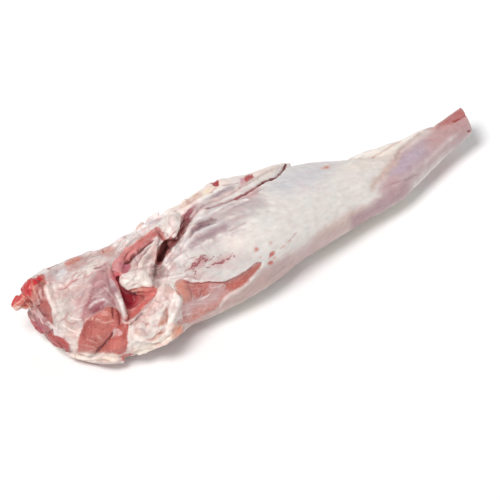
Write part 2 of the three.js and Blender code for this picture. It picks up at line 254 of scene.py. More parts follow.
def relax(points, edges, rounds):
    """Smooths a shape without shrinking it: each step in is followed by a slightly longer step out."""
    for _ in range(rounds):
        for amount in (STEP_IN, STEP_OUT):
            points = points + amount * (near_mean(points, edges) - points)
    return points


def set_points(mesh, points):
    mesh.vertices.foreach_set("co", points.ravel())
    mesh.update()


LEG_RELAXED = 6
leg = even_piece("leg_meat", leg_shape, MESH_STEP)
leg_mesh = leg.data
leg_edges = get_edges(leg_mesh)
points = relax(mesh_rows(leg_mesh.vertices, "co"), leg_edges, LEG_RELAXED)


def soft_step(value, low, high):
    """0 up to the low value, 1 from the high one, and a smooth rise between them."""
    f = np.clip((value - low) / (high - low), 0, 1)
    return f * f * (3 - 2 * f)


# The lower flank is drawn in behind the hip end, less so past its middle and not at the shank. The back
# dips beside the fold, and a little before it.
FLANK_DRAWN_IN = 7.5 * MM
LOW_FLANK = (32, 60)
DRAWN_IN_FROM = (96, 122)
LESS_FROM = (225, 270)
LESS_BY = 0.35
SHANK_FROM = (300, 390)
BACK_DIPS = 5 * MM
BACK_FROM = (14, 34)
FOLD_AT = 72
FOLD_WIDTH = 15
HIP_DIP = 0.3
HIP_DIP_STARTS = (6, 20)
HIP_DIP_ENDS = (-60, -45)
seen = as_seen(points)
along, across = seen[:, :2].T
drawn_in = soft_step(along, *DRAWN_IN_FROM) * (1 - LESS_BY * soft_step(along, *LESS_FROM))
drawn_in *= 1 - soft_step(along, *SHANK_FROM)
dipped = np.exp(-((along - FOLD_AT) / FOLD_WIDTH) ** 2)
dipped += HIP_DIP * soft_step(along, *HIP_DIP_STARTS) * soft_step(-along, *HIP_DIP_ENDS)

# The shank end was sawn at a slant, so that its face leans away from the shown side
SAW_LENGTHENS = 6 * MM
SAW_SLANT = 0.3
SAW_REACH = 0.05
SAWN_WITHIN = 0.002
shank_end = points[points[:, 0] > leg_high.x - SAWN_WITHIN]
shank_middle = Vector((shank_end.min(0) + shank_end.max(0)) / 2)


def sawn_at_slant(points):
    """Moves the shank's last stretch so that its sawn face leans."""
    near_end = soft_step(points[:, 0], leg_high.x - SAW_REACH, leg_high.x - MM)
    over = (points - np.array(shank_middle)) @ np.array(face_out)
    moved = points.copy()
    moved[:, 0] += near_end * (SAW_LENGTHENS - SAW_SLANT * over)
    return moved


points[:, 1] += FLANK_DRAWN_IN * soft_step(-across, *LOW_FLANK) * drawn_in
points[:, 1] -= BACK_DIPS * dipped * soft_step(across, *BACK_FROM)

FAR_AWAY = 1e6


def nearest_on(places, start, end):
    """How far along a straight stretch each place's nearest point lies, 0 to 1, and its distance."""
    run = end - start
    f = np.clip((places - start) @ run / (run @ run), 0, 1)
    return f, np.hypot(*(places - start - f[:, None] * run).T)


def patch_depth(places, corners):
    """Distance of every place from a closed outline: positive inside it, negative outside."""
    nearest = np.full(len(places), FAR_AWAY)
    inside = np.zeros(len(places), dtype=bool)
    for start, end in zip(corners, np.roll(corners, -1, axis=0)):
        nearest = np.minimum(nearest, nearest_on(places, start, end)[1])
        if start[1] != end[1]:
            crosses = (start[1] > places[:, 1]) != (end[1] > places[:, 1])
            run = end - start
            at = start[0] + (places[:, 1] - start[1]) * run[0] / run[1]
            inside ^= crosses & (places[:, 0] < at)
    return np.where(inside, nearest, -nearest)


# The white lump hangs lower, and so does the slot beside the nub. The crest stands higher past the nub, and
# has a notch: edge, shift across, least height, and outline.
SHIFTS = [
    (3, -2.2, 14, [(71, 8), (92, 6), (92, -4), (84, -13), (73, -11)]),
    (5, -3.8, -60, [(130, 6), (138, 26), (150, 34), (166, 36), (170, 28), (152, 12), (138, 3)]),
    (8, 3, -130, [(158, 34), (214, 34), (218, 60), (154, 60)]),
    (4, 2.4, -130, [(181, 37), (201, 37), (203, 60), (179, 60)]),
    (1.5, -1, -130, [(189.5, 39), (192.5, 39), (194, 60), (188, 60)]),
]
SHIFT_FADES = 2
for edge, shift, least, outline in SHIFTS:
    weight = soft_step(patch_depth(seen[:, :2], np.array(outline, dtype=float)), -edge, edge)
    weight *= soft_step(seen[:, 2], least - SHIFT_FADES, least)
    points += (shift * MM * weight)[:, None] * seen_axes[1]
points = sawn_at_slant(points)
set_points(leg_mesh, points)

FRONT_CELL = 1.6
FRONT_SLACK = 16
TURNED_AWAY = (-0.25, 0.05)
FRONT_BLUR = 6


def front_share(seen, normals):
    """How much of each point the eye over the shown side sees: 1 in front, 0 behind or turned away."""
    column = np.floor((seen[:, :2] - seen[:, :2].min(0)) / FRONT_CELL).astype(np.int64)
    key = column[:, 0] * (column[:, 1].max() + 1) + column[:, 1]
    top = np.full(key.max() + 1, -FAR_AWAY)
    np.maximum.at(top, key, seen[:, 2])
    turned = soft_step(normals @ seen_axes[2], *TURNED_AWAY)
    return turned * soft_step(seen[:, 2] - top[key], -FRONT_SLACK, -0.4 * FRONT_SLACK)


normals = mesh_rows(leg_mesh.vertices, "normal")
seen = as_seen(points)
flat = seen[:, :2]
front = blurred(front_share(seen, normals), leg_edges, FRONT_BLUR)
behind = 1 - front

# The half of the leg towards the eye, with the floors of its deep places
NEAR_SIDE_FROM = (-12, -4)
over_middle = seen[:, 2] * math.cos(LOOK_ALONG) + seen[:, 0] * math.sin(LOOK_ALONG)
near_side = soft_step(over_middle, *NEAR_SIDE_FROM)

body = points / MM
NOISE_ROWS = 4096
NOISE_TABLE = np.random.RandomState(11).uniform(-1, 1, NOISE_ROWS)
SEED_SHIFT = 31.7
AXIS_KEYS = np.array([73856093, 19349663, 83492791])


def noise(points, size, seed, octaves=2):
    """Smooth random values, mostly from -1 to 1, whose blobs are about that size."""
    total = np.zeros(len(points))
    for octave in range(octaves):
        cell = points * (2 ** octave / size) + SEED_SHIFT * (seed + octave)
        corner = np.floor(cell).astype(np.int64)
        f = cell - corner
        f = f * f * (3 - 2 * f)
        for step in np.ndindex(2, 2, 2):
            weight = np.prod(np.where(step, f, 1 - f), axis=1)
            key = np.bitwise_xor.reduce((corner + np.array(step)) * AXIS_KEYS, axis=1)
            total += weight * NOISE_TABLE[(key ^ (key >> 11)) % NOISE_ROWS] / 2 ** octave
    return total


def squeezed(places, share):
    """Places drawn together along the leg, so that noise over them runs out along it."""
    return places * np.array([share, 1, 1])


def frayed(seed):
    return noise(body, size=8, seed=seed, octaves=3) + 0.35 * noise(body, size=2.6, seed=seed + 5)


wobble = np.stack([frayed(1), frayed(2)], axis=1)


def smooth_line(points, steps=5, closed=False):
    """A smooth curve through a few points."""
    points = np.array(points, dtype=float)
    if closed:
        padded = np.vstack([points[-1], points, points[:2]])
    else:
        padded = np.vstack([2 * points[0] - points[1], points, 2 * points[-1] - points[-2]])
    curve = []
    for a, b, c, d in zip(padded, padded[1:], padded[2:], padded[3:]):
        for f in np.arange(steps) / steps:
            bend = 2 * a - 5 * b + 4 * c - d + f * (3 * (b - c) + d - a)
            curve.append(b + 0.5 * f * (c - a + f * bend))
    return np.array(curve) if closed else np.array(curve + [points[-1]])


def line_distance(places, curve):
    """Distance of every place from a curve, and how far along the curve its nearest point lies, 0 to 1."""
    nearest = np.full(len(places), FAR_AWAY)
    along = np.zeros(len(places))
    for i, (start, end) in enumerate(zip(curve, curve[1:])):
        f, away = nearest_on(places, start, end)
        closer = away < nearest
        nearest[closer] = away[closer]
        along[closer] = (i + f[closer]) / (len(curve) - 1)
    return nearest, along


def rows_near(places, curve, reach):
    """The rows of the places that lie in or near the box round a curve."""
    near = (places > curve.min(0) - reach) & (places < curve.max(0) + reach)
    return np.flatnonzero(np.all(near, axis=1))


def inside(outline, edge, fray=1.4, places=flat):
    """Which points lie inside an outline on one side of the leg. The edge is soft, that far each way."""
    corners = smooth_line(outline, steps=4, closed=True)
    rows = rows_near(places, corners, edge + 4)
    weight = np.zeros(len(places))
    weight[rows] = soft_step(patch_depth(places[rows] + fray * wobble[rows], corners), -edge, edge)
    return weight


def beside(line, half_width, fray=0.8, places=flat):
    """How near the points on one side of the leg lie to a line: 1 on it, less off it and at its ends."""
    curve = smooth_line(line)
    rows = rows_near(places, curve, 3 * half_width + 3)
    away, along = line_distance(places[rows] + fray * wobble[rows], curve)
    ends = soft_step(along, -0.02, 0.12) * soft_step(1 - along, -0.02, 0.12)
    weight = np.zeros(len(places))
    weight[rows] = np.exp(-(away / (half_width * (0.4 + 0.6 * ends))) ** 2) * (0.3 + 0.7 * ends)
    return weight


# Creases that close, and edges that are blunt: share, side, soft edge, and outline. They are the crease
# above the flank's tear, the one under the cut muscle, the nub, the slot's end, the crevice beside the
# lump, and the back of the crest.
CLOSED = [
    (1, front, 2, [(168, 28), (200, 30.5), (232, 32), (258, 32.5), (258, 37), (210, 36.5), (172, 34)]),
    (1, front, 2.5, [(24, -46), (34, -43), (44, -40), (52, -38), (57, -42), (50, -49), (40, -55),
        (28, -57)]),
    (0.7, front, 2, [(129, 26), (132, 20), (137, 14), (142, 16), (147, 24), (151, 37), (133, 32)]),
    (0.8, front, 3, [(153, 25), (158, 33), (168, 36), (170, 29), (160, 22)]),
    (0.5, front, 1.5, [(99, -9), (103, -5), (107, -11), (105, -21), (100, -20)]),
    (1, behind, 3, [(147, 35), (158, 36), (172, 38), (176, 62), (147, 62)]),
]
CLOSING_ROUNDS = 45
CLOSING_STEP = 0.5
closed = np.zeros(len(points))
for share, side, edge, outline in CLOSED:
    closed += share * side * inside(outline, edge)
for _ in range(CLOSING_ROUNDS):
    points += CLOSING_STEP * closed[:, None] * (near_mean(points, leg_edges) - points)

# The cut muscle is nearly flat, as the knife left it
KNIFE_FLATTENS = 0.55
CUT_MUSCLE = [(11, -45), (20, -35), (28, -27), (36, -22), (48, -20), (57, -22), (60, -30), (57, -38),
              (46, -44), (36, -48), (28, -50), (18, -48)]
cut = front * inside(CUT_MUSCLE, edge=4, fray=0)
heights = as_seen(points)[:, 2]
plane = np.column_stack([flat, np.ones(len(flat))])
fit = np.linalg.lstsq(plane[cut > 0.5], heights[cut > 0.5], rcond=None)[0]
points += (KNIFE_FLATTENS * MM * cut * (plane @ fit - heights))[:, None] * seen_axes[2]


def colour(red, green, blue):
    """A colour read as 0 to 255, in the linear values that shaders use."""
    value = np.array([red, green, blue]) / 255
    return np.where(value < 0.04045, value / 12.92, ((value + 0.055) / 1.055) ** 2.4)


def lay(layer, tint, weight):
    """Colours a layer, as far as the weight says."""
    layer += (colour(*tint) - layer) * weight[:, None]


# Every point has a colour of its film and one of its flesh. Then come how bare the flesh is, how bloody,
# how milky and how crumbly, and how many mm it is lifted.
FILM = (230, 224, 219)
FLESH = (196, 118, 106)
film_tint = np.tile(colour(*FILM), (len(points), 1))
flesh_tint = np.tile(colour(*FLESH), (len(points), 1))
bare, blood, veil, crumble, lift = np.zeros((5, len(points)))

# The far side and the underside: film over long muscles, thinner and pinker in places. They are laid out by
# length and height.
THIN_FAR_FILM = (206, 176, 172)
CREAMY_FILM = (240, 229, 216)
far_flat = np.stack([body[:, 0] - hip_cut / MM, body[:, 2]], axis=1)
far_side = behind * soft_step(normals[:, 1], -0.1, 0.35)
under_side = behind * soft_step(-normals[:, 2], 0.2, 0.6)
patchy = noise(squeezed(body, 0.4), size=30, seed=5, octaves=3)
lay(film_tint, THIN_FAR_FILM, behind * soft_step(patchy, -0.15, 0.5))
lay(film_tint, CREAMY_FILM, behind * soft_step(-patchy, 0.1, 0.55))
bare = np.maximum(bare, under_side * soft_step(patchy, 0.4, 0.75))
swells = 1.4 * noise(squeezed(body, 0.5), size=36, seed=6)
swells += 0.5 * noise(squeezed(body, 0.6), size=12, seed=7)
lift += behind * swells

# Tones of the far side's film: colour, soft edge, strength, and outline
FAR_TONES = [
    ((214, 192, 196), 9, 0.8, [(20, 62), (90, 70), (180, 66), (230, 56), (160, 50), (60, 48)]),
    ((236, 226, 216), 8, 0.9, [(4, 44), (40, 52), (70, 40), (50, 16), (10, 10)]),
    ((190, 164, 172), 10, 0.8, [(300, 44), (380, 52), (460, 54), (460, 40), (380, 36), (310, 34)]),
    ((200, 168, 166), 10, 0.8, [(90, 14), (180, 20), (270, 18), (320, 26), (240, 8), (110, 4)]),
]
for tint, edge, strength, outline in FAR_TONES:
    lay(film_tint, tint, strength * far_side * inside(outline, edge, fray=3, places=far_flat))

# Muscle that shows on the far side: colour, soft edge, how milky it is, and outline
FAR_MUSCLE = [
    ((192, 112, 104), 3, 0.35, [(70, 36), (112, 50), (168, 52), (204, 46), (160, 38), (108, 28), (78, 28)]),
    ((184, 98, 92), 2.6, 0.2, [(120, 42), (160, 48), (176, 46), (140, 38)]),
    ((196, 122, 112), 3.5, 0.45, [(226, 24), (268, 36), (318, 40), (300, 30), (252, 18)]),
    ((178, 88, 84), 2.2, 0.15, [(14, 26), (26, 40), (38, 38), (34, 22), (22, 16)]),
    ((190, 116, 112), 4, 0.4, [(388, 46), (420, 50), (462, 52), (462, 42), (410, 40)]),
]
milky = noise(body, size=6, seed=28, octaves=3)
broken = 1 + 0.55 * noise(body, size=7, seed=29)


def uncover(tint, tinted, weight, milk):
    """Bares muscle of this colour, as far as the weight says, under a milky veil."""
    lay(flesh_tint, tint, tinted)
    np.maximum(bare, weight, out=bare)
    np.add(veil, (np.clip(milk, 0, 1) - veil) * weight, out=veil)


for tint, edge, milk, outline in FAR_MUSCLE:
    weight = far_side * inside(outline, 1.5 * edge, fray=2.5, places=far_flat)
    uncover(tint, weight, weight, milk + 0.9 * milk * milky)

# Seams between the far side's muscles, each with a soft swelling below it
FAR_SEAMS = [
    [(10, 56), (70, 58), (140, 58), (210, 52), (280, 46)],
    [(30, 20), (90, 24), (160, 32), (230, 34), (310, 36), (380, 42)],
    [(60, 12), (130, 12), (200, 14), (260, 14)],
    [(300, 52), (350, 50), (410, 48)],
]
SEAM_PINK = (188, 148, 148)
SWELLING_CREAM = (240, 230, 220)
SWELLING_BELOW = 5
for line in FAR_SEAMS:
    seam = far_side * beside(line, 2.4, fray=2, places=far_flat)
    lower_line = [(along, height - SWELLING_BELOW) for along, height in line]
    beneath = far_side * beside(lower_line, 3, fray=2, places=far_flat)
    lift += (0.7 * beneath - 1.1 * seam) * broken
    lay(film_tint, SEAM_PINK, 0.6 * seam)
    lay(film_tint, SWELLING_CREAM, 0.4 * beneath)

# Tones of the film, and some painted light and shade on it: colour, soft edge, strength, and outline
FILM_TONES_LIGHT_AND_SHADE = [
    ((206, 185, 180), 14, 1, [(-30, 45), (60, 45), (100, 30), (112, 0), (118, -30), (104, -60), (98, -85),
        (-30, -85)]),
    ((208, 199, 195), 8, 0.9, [(112, -8), (150, -8), (190, -8), (205, -20), (190, -36), (160, -36),
        (135, -28)]),
    # Whiter, creamier film on the middle of the thigh, partly a painted highlight
    ((236, 229, 222), 8, 0.9, [(176, -3), (205, -5), (216, -16), (200, -27), (180, -22)]),
    ((234, 220, 211), 4, 0.9, [(10, 22), (16, 21), (19, 8), (16, -6), (14, -16), (15, -28), (15, -38),
        (10, -43), (9, -36), (10, -28), (9, -20), (8, -8), (9, 6)]),
    ((224, 208, 202), 4, 0.8, [(34, 16), (48, 20), (62, 22), (74, 20), (62, 15), (46, 12)]),
    ((196, 180, 179), 6, 0.9, [(124, 0), (150, 14), (178, 22), (215, 18), (226, 8), (200, 2), (160, -6)]),
    ((214, 211, 216), 8, 0.8, [(236, 20), (262, 26), (300, 16), (280, 6), (250, 8)]),
    # Painted shade: the lower flank grows darker towards its bottom edge
    ((210, 184, 179), 7, 0.8, [(196, -49), (236, -45), (262, -38), (300, -32), (304, -44), (250, -56),
        (200, -64)]),
    ((214, 188, 176), 5, 0.8, [(252, -41), (270, -36), (304, -31), (300, -38), (270, -46)]),
    ((176, 138, 146), 5, 0.9, [(292, -37), (312, -34), (326, -29.5), (352, -25), (352, -40), (320, -46),
        (290, -50)]),
    ((188, 156, 159), 6, 0.95, [(326, -25), (350, -6), (362, 1), (380, 5), (400, 6), (430, 2), (430, -12),
        (385, -22), (345, -33)]),
    ((184, 166, 180), 7, 0.85, [(340, -12), (358, -3), (378, -1), (380, -12), (356, -20)]),
    ((190, 150, 150), 5, 0.8, [(388, 2), (430, 2), (430, -6), (396, -9)]),
    ((236, 226, 217), 5, 0.9, [(304, 6), (330, 12), (366, 12), (396, 11), (375, 6), (357, 1), (335, -4)]),
    ((212, 180, 164), 3.5, 0.75, [(320, -23), (336, -15), (350, -9), (358, -1), (352, -1), (336, -9),
        (322, -17)]),
    # Painted light: film along the top edge, which is turned away from the lamp, is whitened
    ((244, 234, 230), 4, 0.9, [(12, 31), (40, 30), (60, 31), (74, 28), (70, 38), (12, 42)]),
    ((217, 211, 211), 5, 0.9, [(20, 30), (34, 30), (34, 22), (25, 19), (18, 22)]),
    ((214, 152, 148), 3, 0.75, [(11, 29), (20, 30), (23, 25), (19, 20), (12, 20)]),
    ((200, 148, 140), 4, 0.65, [(34, 33), (54, 33), (57, 24), (48, 20), (38, 22)]),
    ((240, 227, 219), 2.5, 0.9, [(36, 22), (46, 23), (57, 22), (56, 18), (44, 16)]),
    ((230, 214, 207), 2.5, 0.9, [(55, 27), (63, 28), (72, 24), (70, 20), (60, 20)]),
    ((216, 184, 178), 5, 0.7, [(24, 10), (46, 12), (56, 6), (44, -6), (30, -6)]),
    ((198, 152, 150), 3, 0.7, [(9, -24), (16, -22), (20, -28), (14, -33), (9, -30)]),
    ((216, 150, 131), 2.5, 0.95, [(68, 30), (75, 32), (84, 28), (82, 22), (71, 24)]),
    ((154, 80, 88), 4, 0.95, [(27, -19), (43, -2), (55, 9), (66, 14), (69, 6), (66, -6), (63, -22),
        (50, -20), (40, -20), (30, -24)]),
    ((172, 124, 128), 4, 0.8, [(46, 0), (56, 10), (66, 10), (66, -4), (58, -10), (48, -8)]),
    ((142, 70, 80), 2.6, 0.9, [(38, -15), (48, -13), (58, -16), (60, -21), (48, -20), (38, -20)]),
    ((206, 183, 175), 2, 1, [(90, 2), (93, 10), (100, 15), (112, 18), (122, 20), (127, 26), (122, 15),
        (115, 8), (110, 0), (104, -10), (101, -3)]),
    # Painted shade: grey-brown in the crevice below the slot
    ((144, 116, 114), 2.6, 0.95, [(107, 0), (112, -2), (117, -7), (115, -13), (109, -16), (105.5, -20),
        (103, -19), (103.5, -11)]),
    ((150, 124, 120), 2, 0.8, [(111, -7), (117, -7), (121, -11.5), (116, -15), (110, -15)]),
    ((252, 242, 234), 2.5, 0.9, [(228, 31), (244, 31), (258, 34), (258, 40), (230, 42)]),
    ((246, 236, 230), 2.5, 0.8, [(206, 27), (224, 29), (246, 30), (244, 33), (222, 31.5), (206, 30)]),
    ((178, 158, 166), 3, 0.85, [(164, 30), (180, 31.5), (198, 35), (208, 34), (203, 30), (188, 28),
        (172, 27)]),
    ((252, 233, 223), 3, 0.9, [(150, 36), (176, 38), (200, 38), (212, 38), (230, 35), (262, 33), (262, 40),
        (230, 46), (190, 50), (155, 46)]),
    ((204, 140, 142), 2.5, 0.7, [(203, 21), (216, 23), (226, 24), (224, 19), (210, 17)]),
    # Painted light: film along the top edge, which is turned away from the lamp, is whitened
    ((250, 240, 236), 3, 0.95, [(84, 27), (104, 29), (128, 33), (134, 40), (110, 41), (84, 36)]),
    ((212, 172, 168), 1.6, 0.6, [(98, 29.5), (106, 31), (114, 31.5), (108, 29), (100, 28)]),
    ((206, 178, 186), 1.6, 0.6, [(116, 34), (130, 36), (132, 33), (120, 32)]),
    ((230, 176, 150), 2, 0.7, [(108, 36), (113, 38), (117, 36), (112, 34)]),
    ((188, 142, 144), 2.4, 0.85, [(133, -20), (140, -16), (146, -12), (156, -14), (158, -18), (150, -21),
        (142, -21)]),
    ((206, 172, 170), 2.4, 0.8, [(156, -23), (164, -20), (174, -21), (178, -24), (170, -28), (158, -27)]),
    ((218, 194, 190), 2.4, 0.7, [(134, -27), (141, -22), (148, -23), (142, -31)]),
    # Painted shade: darker film in the valleys on both sides of the ridge
    ((108, 74, 84), 1.8, 1, [(148.5, 7), (156, 13), (163, 17), (172, 16), (178, 12), (168, 9), (156, 7)]),
    ((166, 140, 146), 2.6, 0.9, [(144, -2), (155, 3), (165, 6), (182, 5), (185, 1), (170, -1), (156, -3)]),
    # Painted shade: the lower flank grows darker towards its bottom edge
    ((192, 158, 152), 5, 0.9, [(118, -58), (150, -57), (190, -51), (224, -46), (224, -58), (190, -66),
        (120, -72)]),
    ((196, 168, 166), 5, 0.85, [(196, -48), (230, -46), (262, -40), (286, -40), (270, -50), (220, -62)]),
    ((186, 120, 116), 5, 0.95, [(393, 7), (403, 11.5), (434, 19), (436, 4), (412, 2.5)]),
    ((176, 96, 94), 2.5, 0.7, [(402, 9), (414, 13), (436, 16), (436, 8), (415, 5)]),
    ((206, 172, 170), 3, 0.6, [(62, 24), (74, 22), (84, 18), (92, 24), (80, 26)]),
    ((196, 98, 86), 1.2, 0.95, [(207.5, -39.6), (211, -36.8), (215.6, -36.4), (214, -39), (210.5, -40.2)]),
    ((200, 100, 88), 1.1, 0.9, [(205.5, -43.2), (208.8, -42.6), (210, -44.8), (207, -45.8)]),
    ((214, 148, 132), 1, 0.8, [(211, -42.4), (214, -41), (215.5, -42), (213, -43.4)]),
    ((212, 150, 136), 0.9, 0.7, [(222.5, -36), (226, -34.2), (228, -34.6), (225, -36.4)]),
    ((212, 150, 136), 0.8, 0.6, [(229.5, -33.4), (232, -32.2), (233.4, -33), (231, -34)]),
    ((214, 158, 144), 1, 0.7, [(214, -28), (217, -27.4), (217.6, -29.2), (215, -29.6)]),
    ((206, 150, 142), 1, 0.6, [(200.5, -35.2), (203, -34.8), (203.4, -36), (201, -36.4)]),
    ((198, 112, 98), 0.9, 0.9, [(199.6, -27.2), (202.4, -27), (202.6, -29.4), (199.8, -29.6)]),
    ((222, 190, 180), 3, 0.6, [(14, -22), (22, -24), (24, -30), (16, -33), (11, -28)]),
    ((192, 168, 160), 4, 0.85, [(13, -10), (24, -8), (27, -20), (20, -26), (13, -24)]),
    ((230, 190, 170), 2, 0.7, [(285, 15.5), (290, 17), (296, 15), (290, 13)]),
    ((200, 120, 98), 0.8, 0.9, [(287.5, 15.6), (291, 15.6), (293, 13.8), (290.8, 13.6)]),
    ((168, 116, 122), 2.4, 0.85, [(152.5, 17.5), (155.5, 24.6), (159.5, 30.6), (167, 33), (166.5, 27),
        (159, 18.6)]),
    ((246, 220, 202), 3, 0.7, [(150, 34), (172, 36), (174, 46), (150, 46)]),
    ((206, 158, 132), 1, 0.7, [(159, 38), (162, 40), (164.5, 38.5), (161, 36.5)]),
    ((206, 156, 128), 0.9, 0.7, [(168, 40), (172, 42), (174, 40.5), (170, 39)]),
    ((253, 230, 198), 1.6, 0.8, [(175, 38.5), (183, 42.5), (188, 41), (180, 37.5)]),
    ((186, 128, 126), 2.2, 0.6, [(30, -21), (36, -14), (40, -12), (38, -18), (33, -23)]),
]
for tint, edge, strength, outline in FILM_TONES_LIGHT_AND_SHADE:
    lay(film_tint, tint, strength * front * inside(outline, edge))

# Bare muscle: colour, edge, how far it lies below the film round it, how milky it is, and outline
BARE_MUSCLE = [
    ((164, 88, 89), 1.6, 0, 0.14, [(-13, 9), (-6, 11), (4, 11), (6, 4), (5, -8), (4, -18), (6, -27),
        (9, -34), (8, -41), (2, -42), (-4, -35), (-9, -25), (-13, -14), (-16, -4), (-15, 5)]),
    ((186, 118, 112), 2, 0, 0.2, [(-13, 6), (-10, 15), (-4, 18), (2, 22), (8, 28), (12, 29), (10, 15),
        (7, 6), (0, 5)]),
    ((174, 92, 86), 0.9, 0.3, 0, [(-2, 10), (5, 10), (7.5, 3), (6.5, -5), (4, -12), (1, -10), (-1, 2)]),
    ((168, 80, 92), 2.2, 0, 0.1, [(-15, -3), (-8, -4), (-5, -14), (-9, -20), (-13, -14)]),
    ((166, 46, 44), 1.3, -1.2, 0, [(-7, -20), (-2, -19), (3, -25), (7, -31), (9, -36), (6, -41), (1, -41),
        (-4, -33)]),
    ((200, 96, 92), 1.4, 0, 0.05, [(6, 24), (8, 33), (14, 31), (13, 24), (11, 20)]),
    ((186, 102, 92), 1.9, 0.4, 0.05, [(9, -47), (17, -38), (24, -30), (31, -24), (39, -21), (57, -20.5),
        (63, -27), (62, -37), (52, -41), (45, -46), (38, -51), (30, -54), (19, -51.5)]),
    ((158, 76, 72), 3, 0, 0, [(22, -33), (28, -26), (34, -25), (36, -33), (32, -40), (25, -39)]),
    ((200, 112, 96), 2.2, -0.3, 0, [(45, -24), (51, -22), (57, -22.5), (55, -28), (52, -32), (47, -29)]),
    ((188, 108, 98), 4.5, -0.5, 0, [(32, -30), (46, -25), (52, -32), (46, -40), (36, -42), (28, -38)]),
    ((206, 110, 104), 2, 0, 0, [(58, -24), (62, -27), (62, -37), (50, -41), (44, -44), (54, -34)]),
    ((184, 88, 80), 1.3, 0.4, 0, [(30, -53), (40, -50), (49, -46), (56, -42), (64, -42), (60, -52),
        (56, -61), (49, -65), (43, -63)]),
    ((196, 112, 102), 3, -0.4, 0, [(40, -55), (48, -50), (57, -53), (50, -61)]),
    ((178, 86, 76), 1, 0.3, 0, [(52, -41), (62, -38), (67, -40), (63, -47), (58, -50), (57, -44)]),
    ((218, 138, 131), 1.2, 0, 0.05, [(82, -12), (95, -16), (102, -20), (101, -27), (92, -31), (80, -36),
        (70, -39), (64, -38), (67, -31), (76, -30), (83, -25), (84, -18)]),
    # Painted light: the muscle in the lump's shadow is made lighter
    ((226, 134, 128), 2, 0, 0, [(90, -23), (97, -21), (101, -24), (98, -28), (92, -28)]),
    ((200, 98, 92), 2, 0, 0.05, [(66, -33), (76, -31.5), (86, -29), (92, -29), (82, -35), (70, -39)]),
    ((226, 158, 138), 1.5, 0, 0.1, [(79, -12.5), (84, -13.4), (93, -16), (93, -20), (86, -18.6),
        (80, -16)]),
    ((208, 136, 136), 1.6, 0, 0.15, [(69, 5), (73, 12), (80, 18), (88, 16), (90, 11), (88, 5), (84, 1),
        (76, 1)]),
    ((184, 104, 120), 2.4, 0, 0, [(80, 12), (87, 13), (90, 8), (88, 4), (82, 3)]),
    ((224, 140, 138), 1.4, 0, 0.1, [(80, 16), (88, 21), (100, 24), (112, 26), (126, 28.5), (127, 24),
        (119, 19.8), (112, 18), (103, 16.4), (97, 14), (91, 11), (86, 10.5)]),
    ((188, 98, 94), 0.9, 0, 0.05, [(104, 19.5), (114, 20.5), (122, 21), (124, 25), (114, 24), (104, 22)]),
    ((182, 104, 102), 2, 0.4, 0.1, [(123, 29), (128, 27), (129, 18), (127, 12), (124, 18)]),
    ((204, 146, 142), 0.9, 1.6, 0.2, [(117, -30), (121, -25), (127, -24), (135, -31), (142, -36),
        (157, -40), (163, -43), (172, -44), (182, -42), (197, -39), (200, -42), (188, -49), (175, -53.5),
        (164, -54.5), (155, -58), (145, -62), (125, -61), (114, -58), (117, -50), (120, -42)]),
    ((208, 140, 124), 1.8, -1.5, 0, [(118, -38), (117, -30), (121, -25), (126, -24), (130, -29), (130, -38),
        (126, -44), (120, -44)]),
    ((190, 104, 96), 2.2, -0.5, 0.1, [(129, -26), (136, -33), (145, -37), (156, -40), (152, -46),
        (143, -48), (131, -45), (130, -36)]),
    ((192, 100, 86), 1.8, -0.6, 0, [(157, -41), (165, -45), (172, -46), (182, -44), (197, -41), (198, -44),
        (188, -49.5), (175, -53.5), (162, -52)]),
    ((208, 136, 126), 2, -0.6, 0.25, [(106, -58), (120, -55), (140, -57), (154, -56), (148, -61),
        (138, -63), (122, -63), (109, -62)]),
    ((192, 118, 120), 2.4, 0, 0.5, [(114, -55), (117, -48), (122, -47), (126, -52), (118, -57),
        (110, -58)]),
    ((212, 148, 122), 3.4, 0.5, 0.45, [(91, -54), (95, -49), (101, -44), (105, -42), (103, -49),
        (98, -55)]),
    ((194, 112, 90), 2.2, 0.6, 0.3, [(97, -52), (100, -47), (104, -43.5), (103, -48), (99, -54)]),
    ((212, 146, 118), 2.8, 0.4, 0.45, [(75, -61), (84, -61), (91, -59), (91, -63), (83, -65)]),
    ((206, 158, 150), 1.2, 0.6, 0.4, [(79, -48), (82, -46.5), (83, -49), (80, -50)]),
    ((184, 78, 82), 1.6, -0.3, 0.05, [(213, 30), (214, 35.5), (217.5, 38), (224, 38), (229, 33.5),
        (227, 29.4), (219.5, 28.4), (214.5, 28.6)]),
    ((176, 46, 54), 1.2, 0, 0, [(186, 47), (188, 44.5), (189, 41), (193.5, 41), (195.5, 44.5), (196, 48),
        (191, 49)]),
    ((208, 130, 114), 2.6, 0.1, 0.3, [(35, 33), (42, 36), (50, 35), (51, 31), (44, 29), (37, 30)]),
    ((158, 60, 74), 1.4, 0.1, 0.2, [(18, 35), (28, 37), (29, 34.5), (20, 33.5)]),
    ((194, 98, 92), 1.4, 0, 0.1, [(46, -66), (55, -66), (62, -68.5), (60, -72), (48, -72)]),
    ((206, 116, 104), 1.4, 0, 0.2, [(62, -66), (68, -66), (71, -69), (65, -70)]),
]
for tint, edge, sink, milk, outline in BARE_MUSCLE:
    weight = front * inside(outline, edge + 0.3, fray=0.9)
    uncover(tint, front * inside(outline, edge + 1, fray=0.9), weight, milk + 0.8 * milk * milky)
    lift -= sink * weight

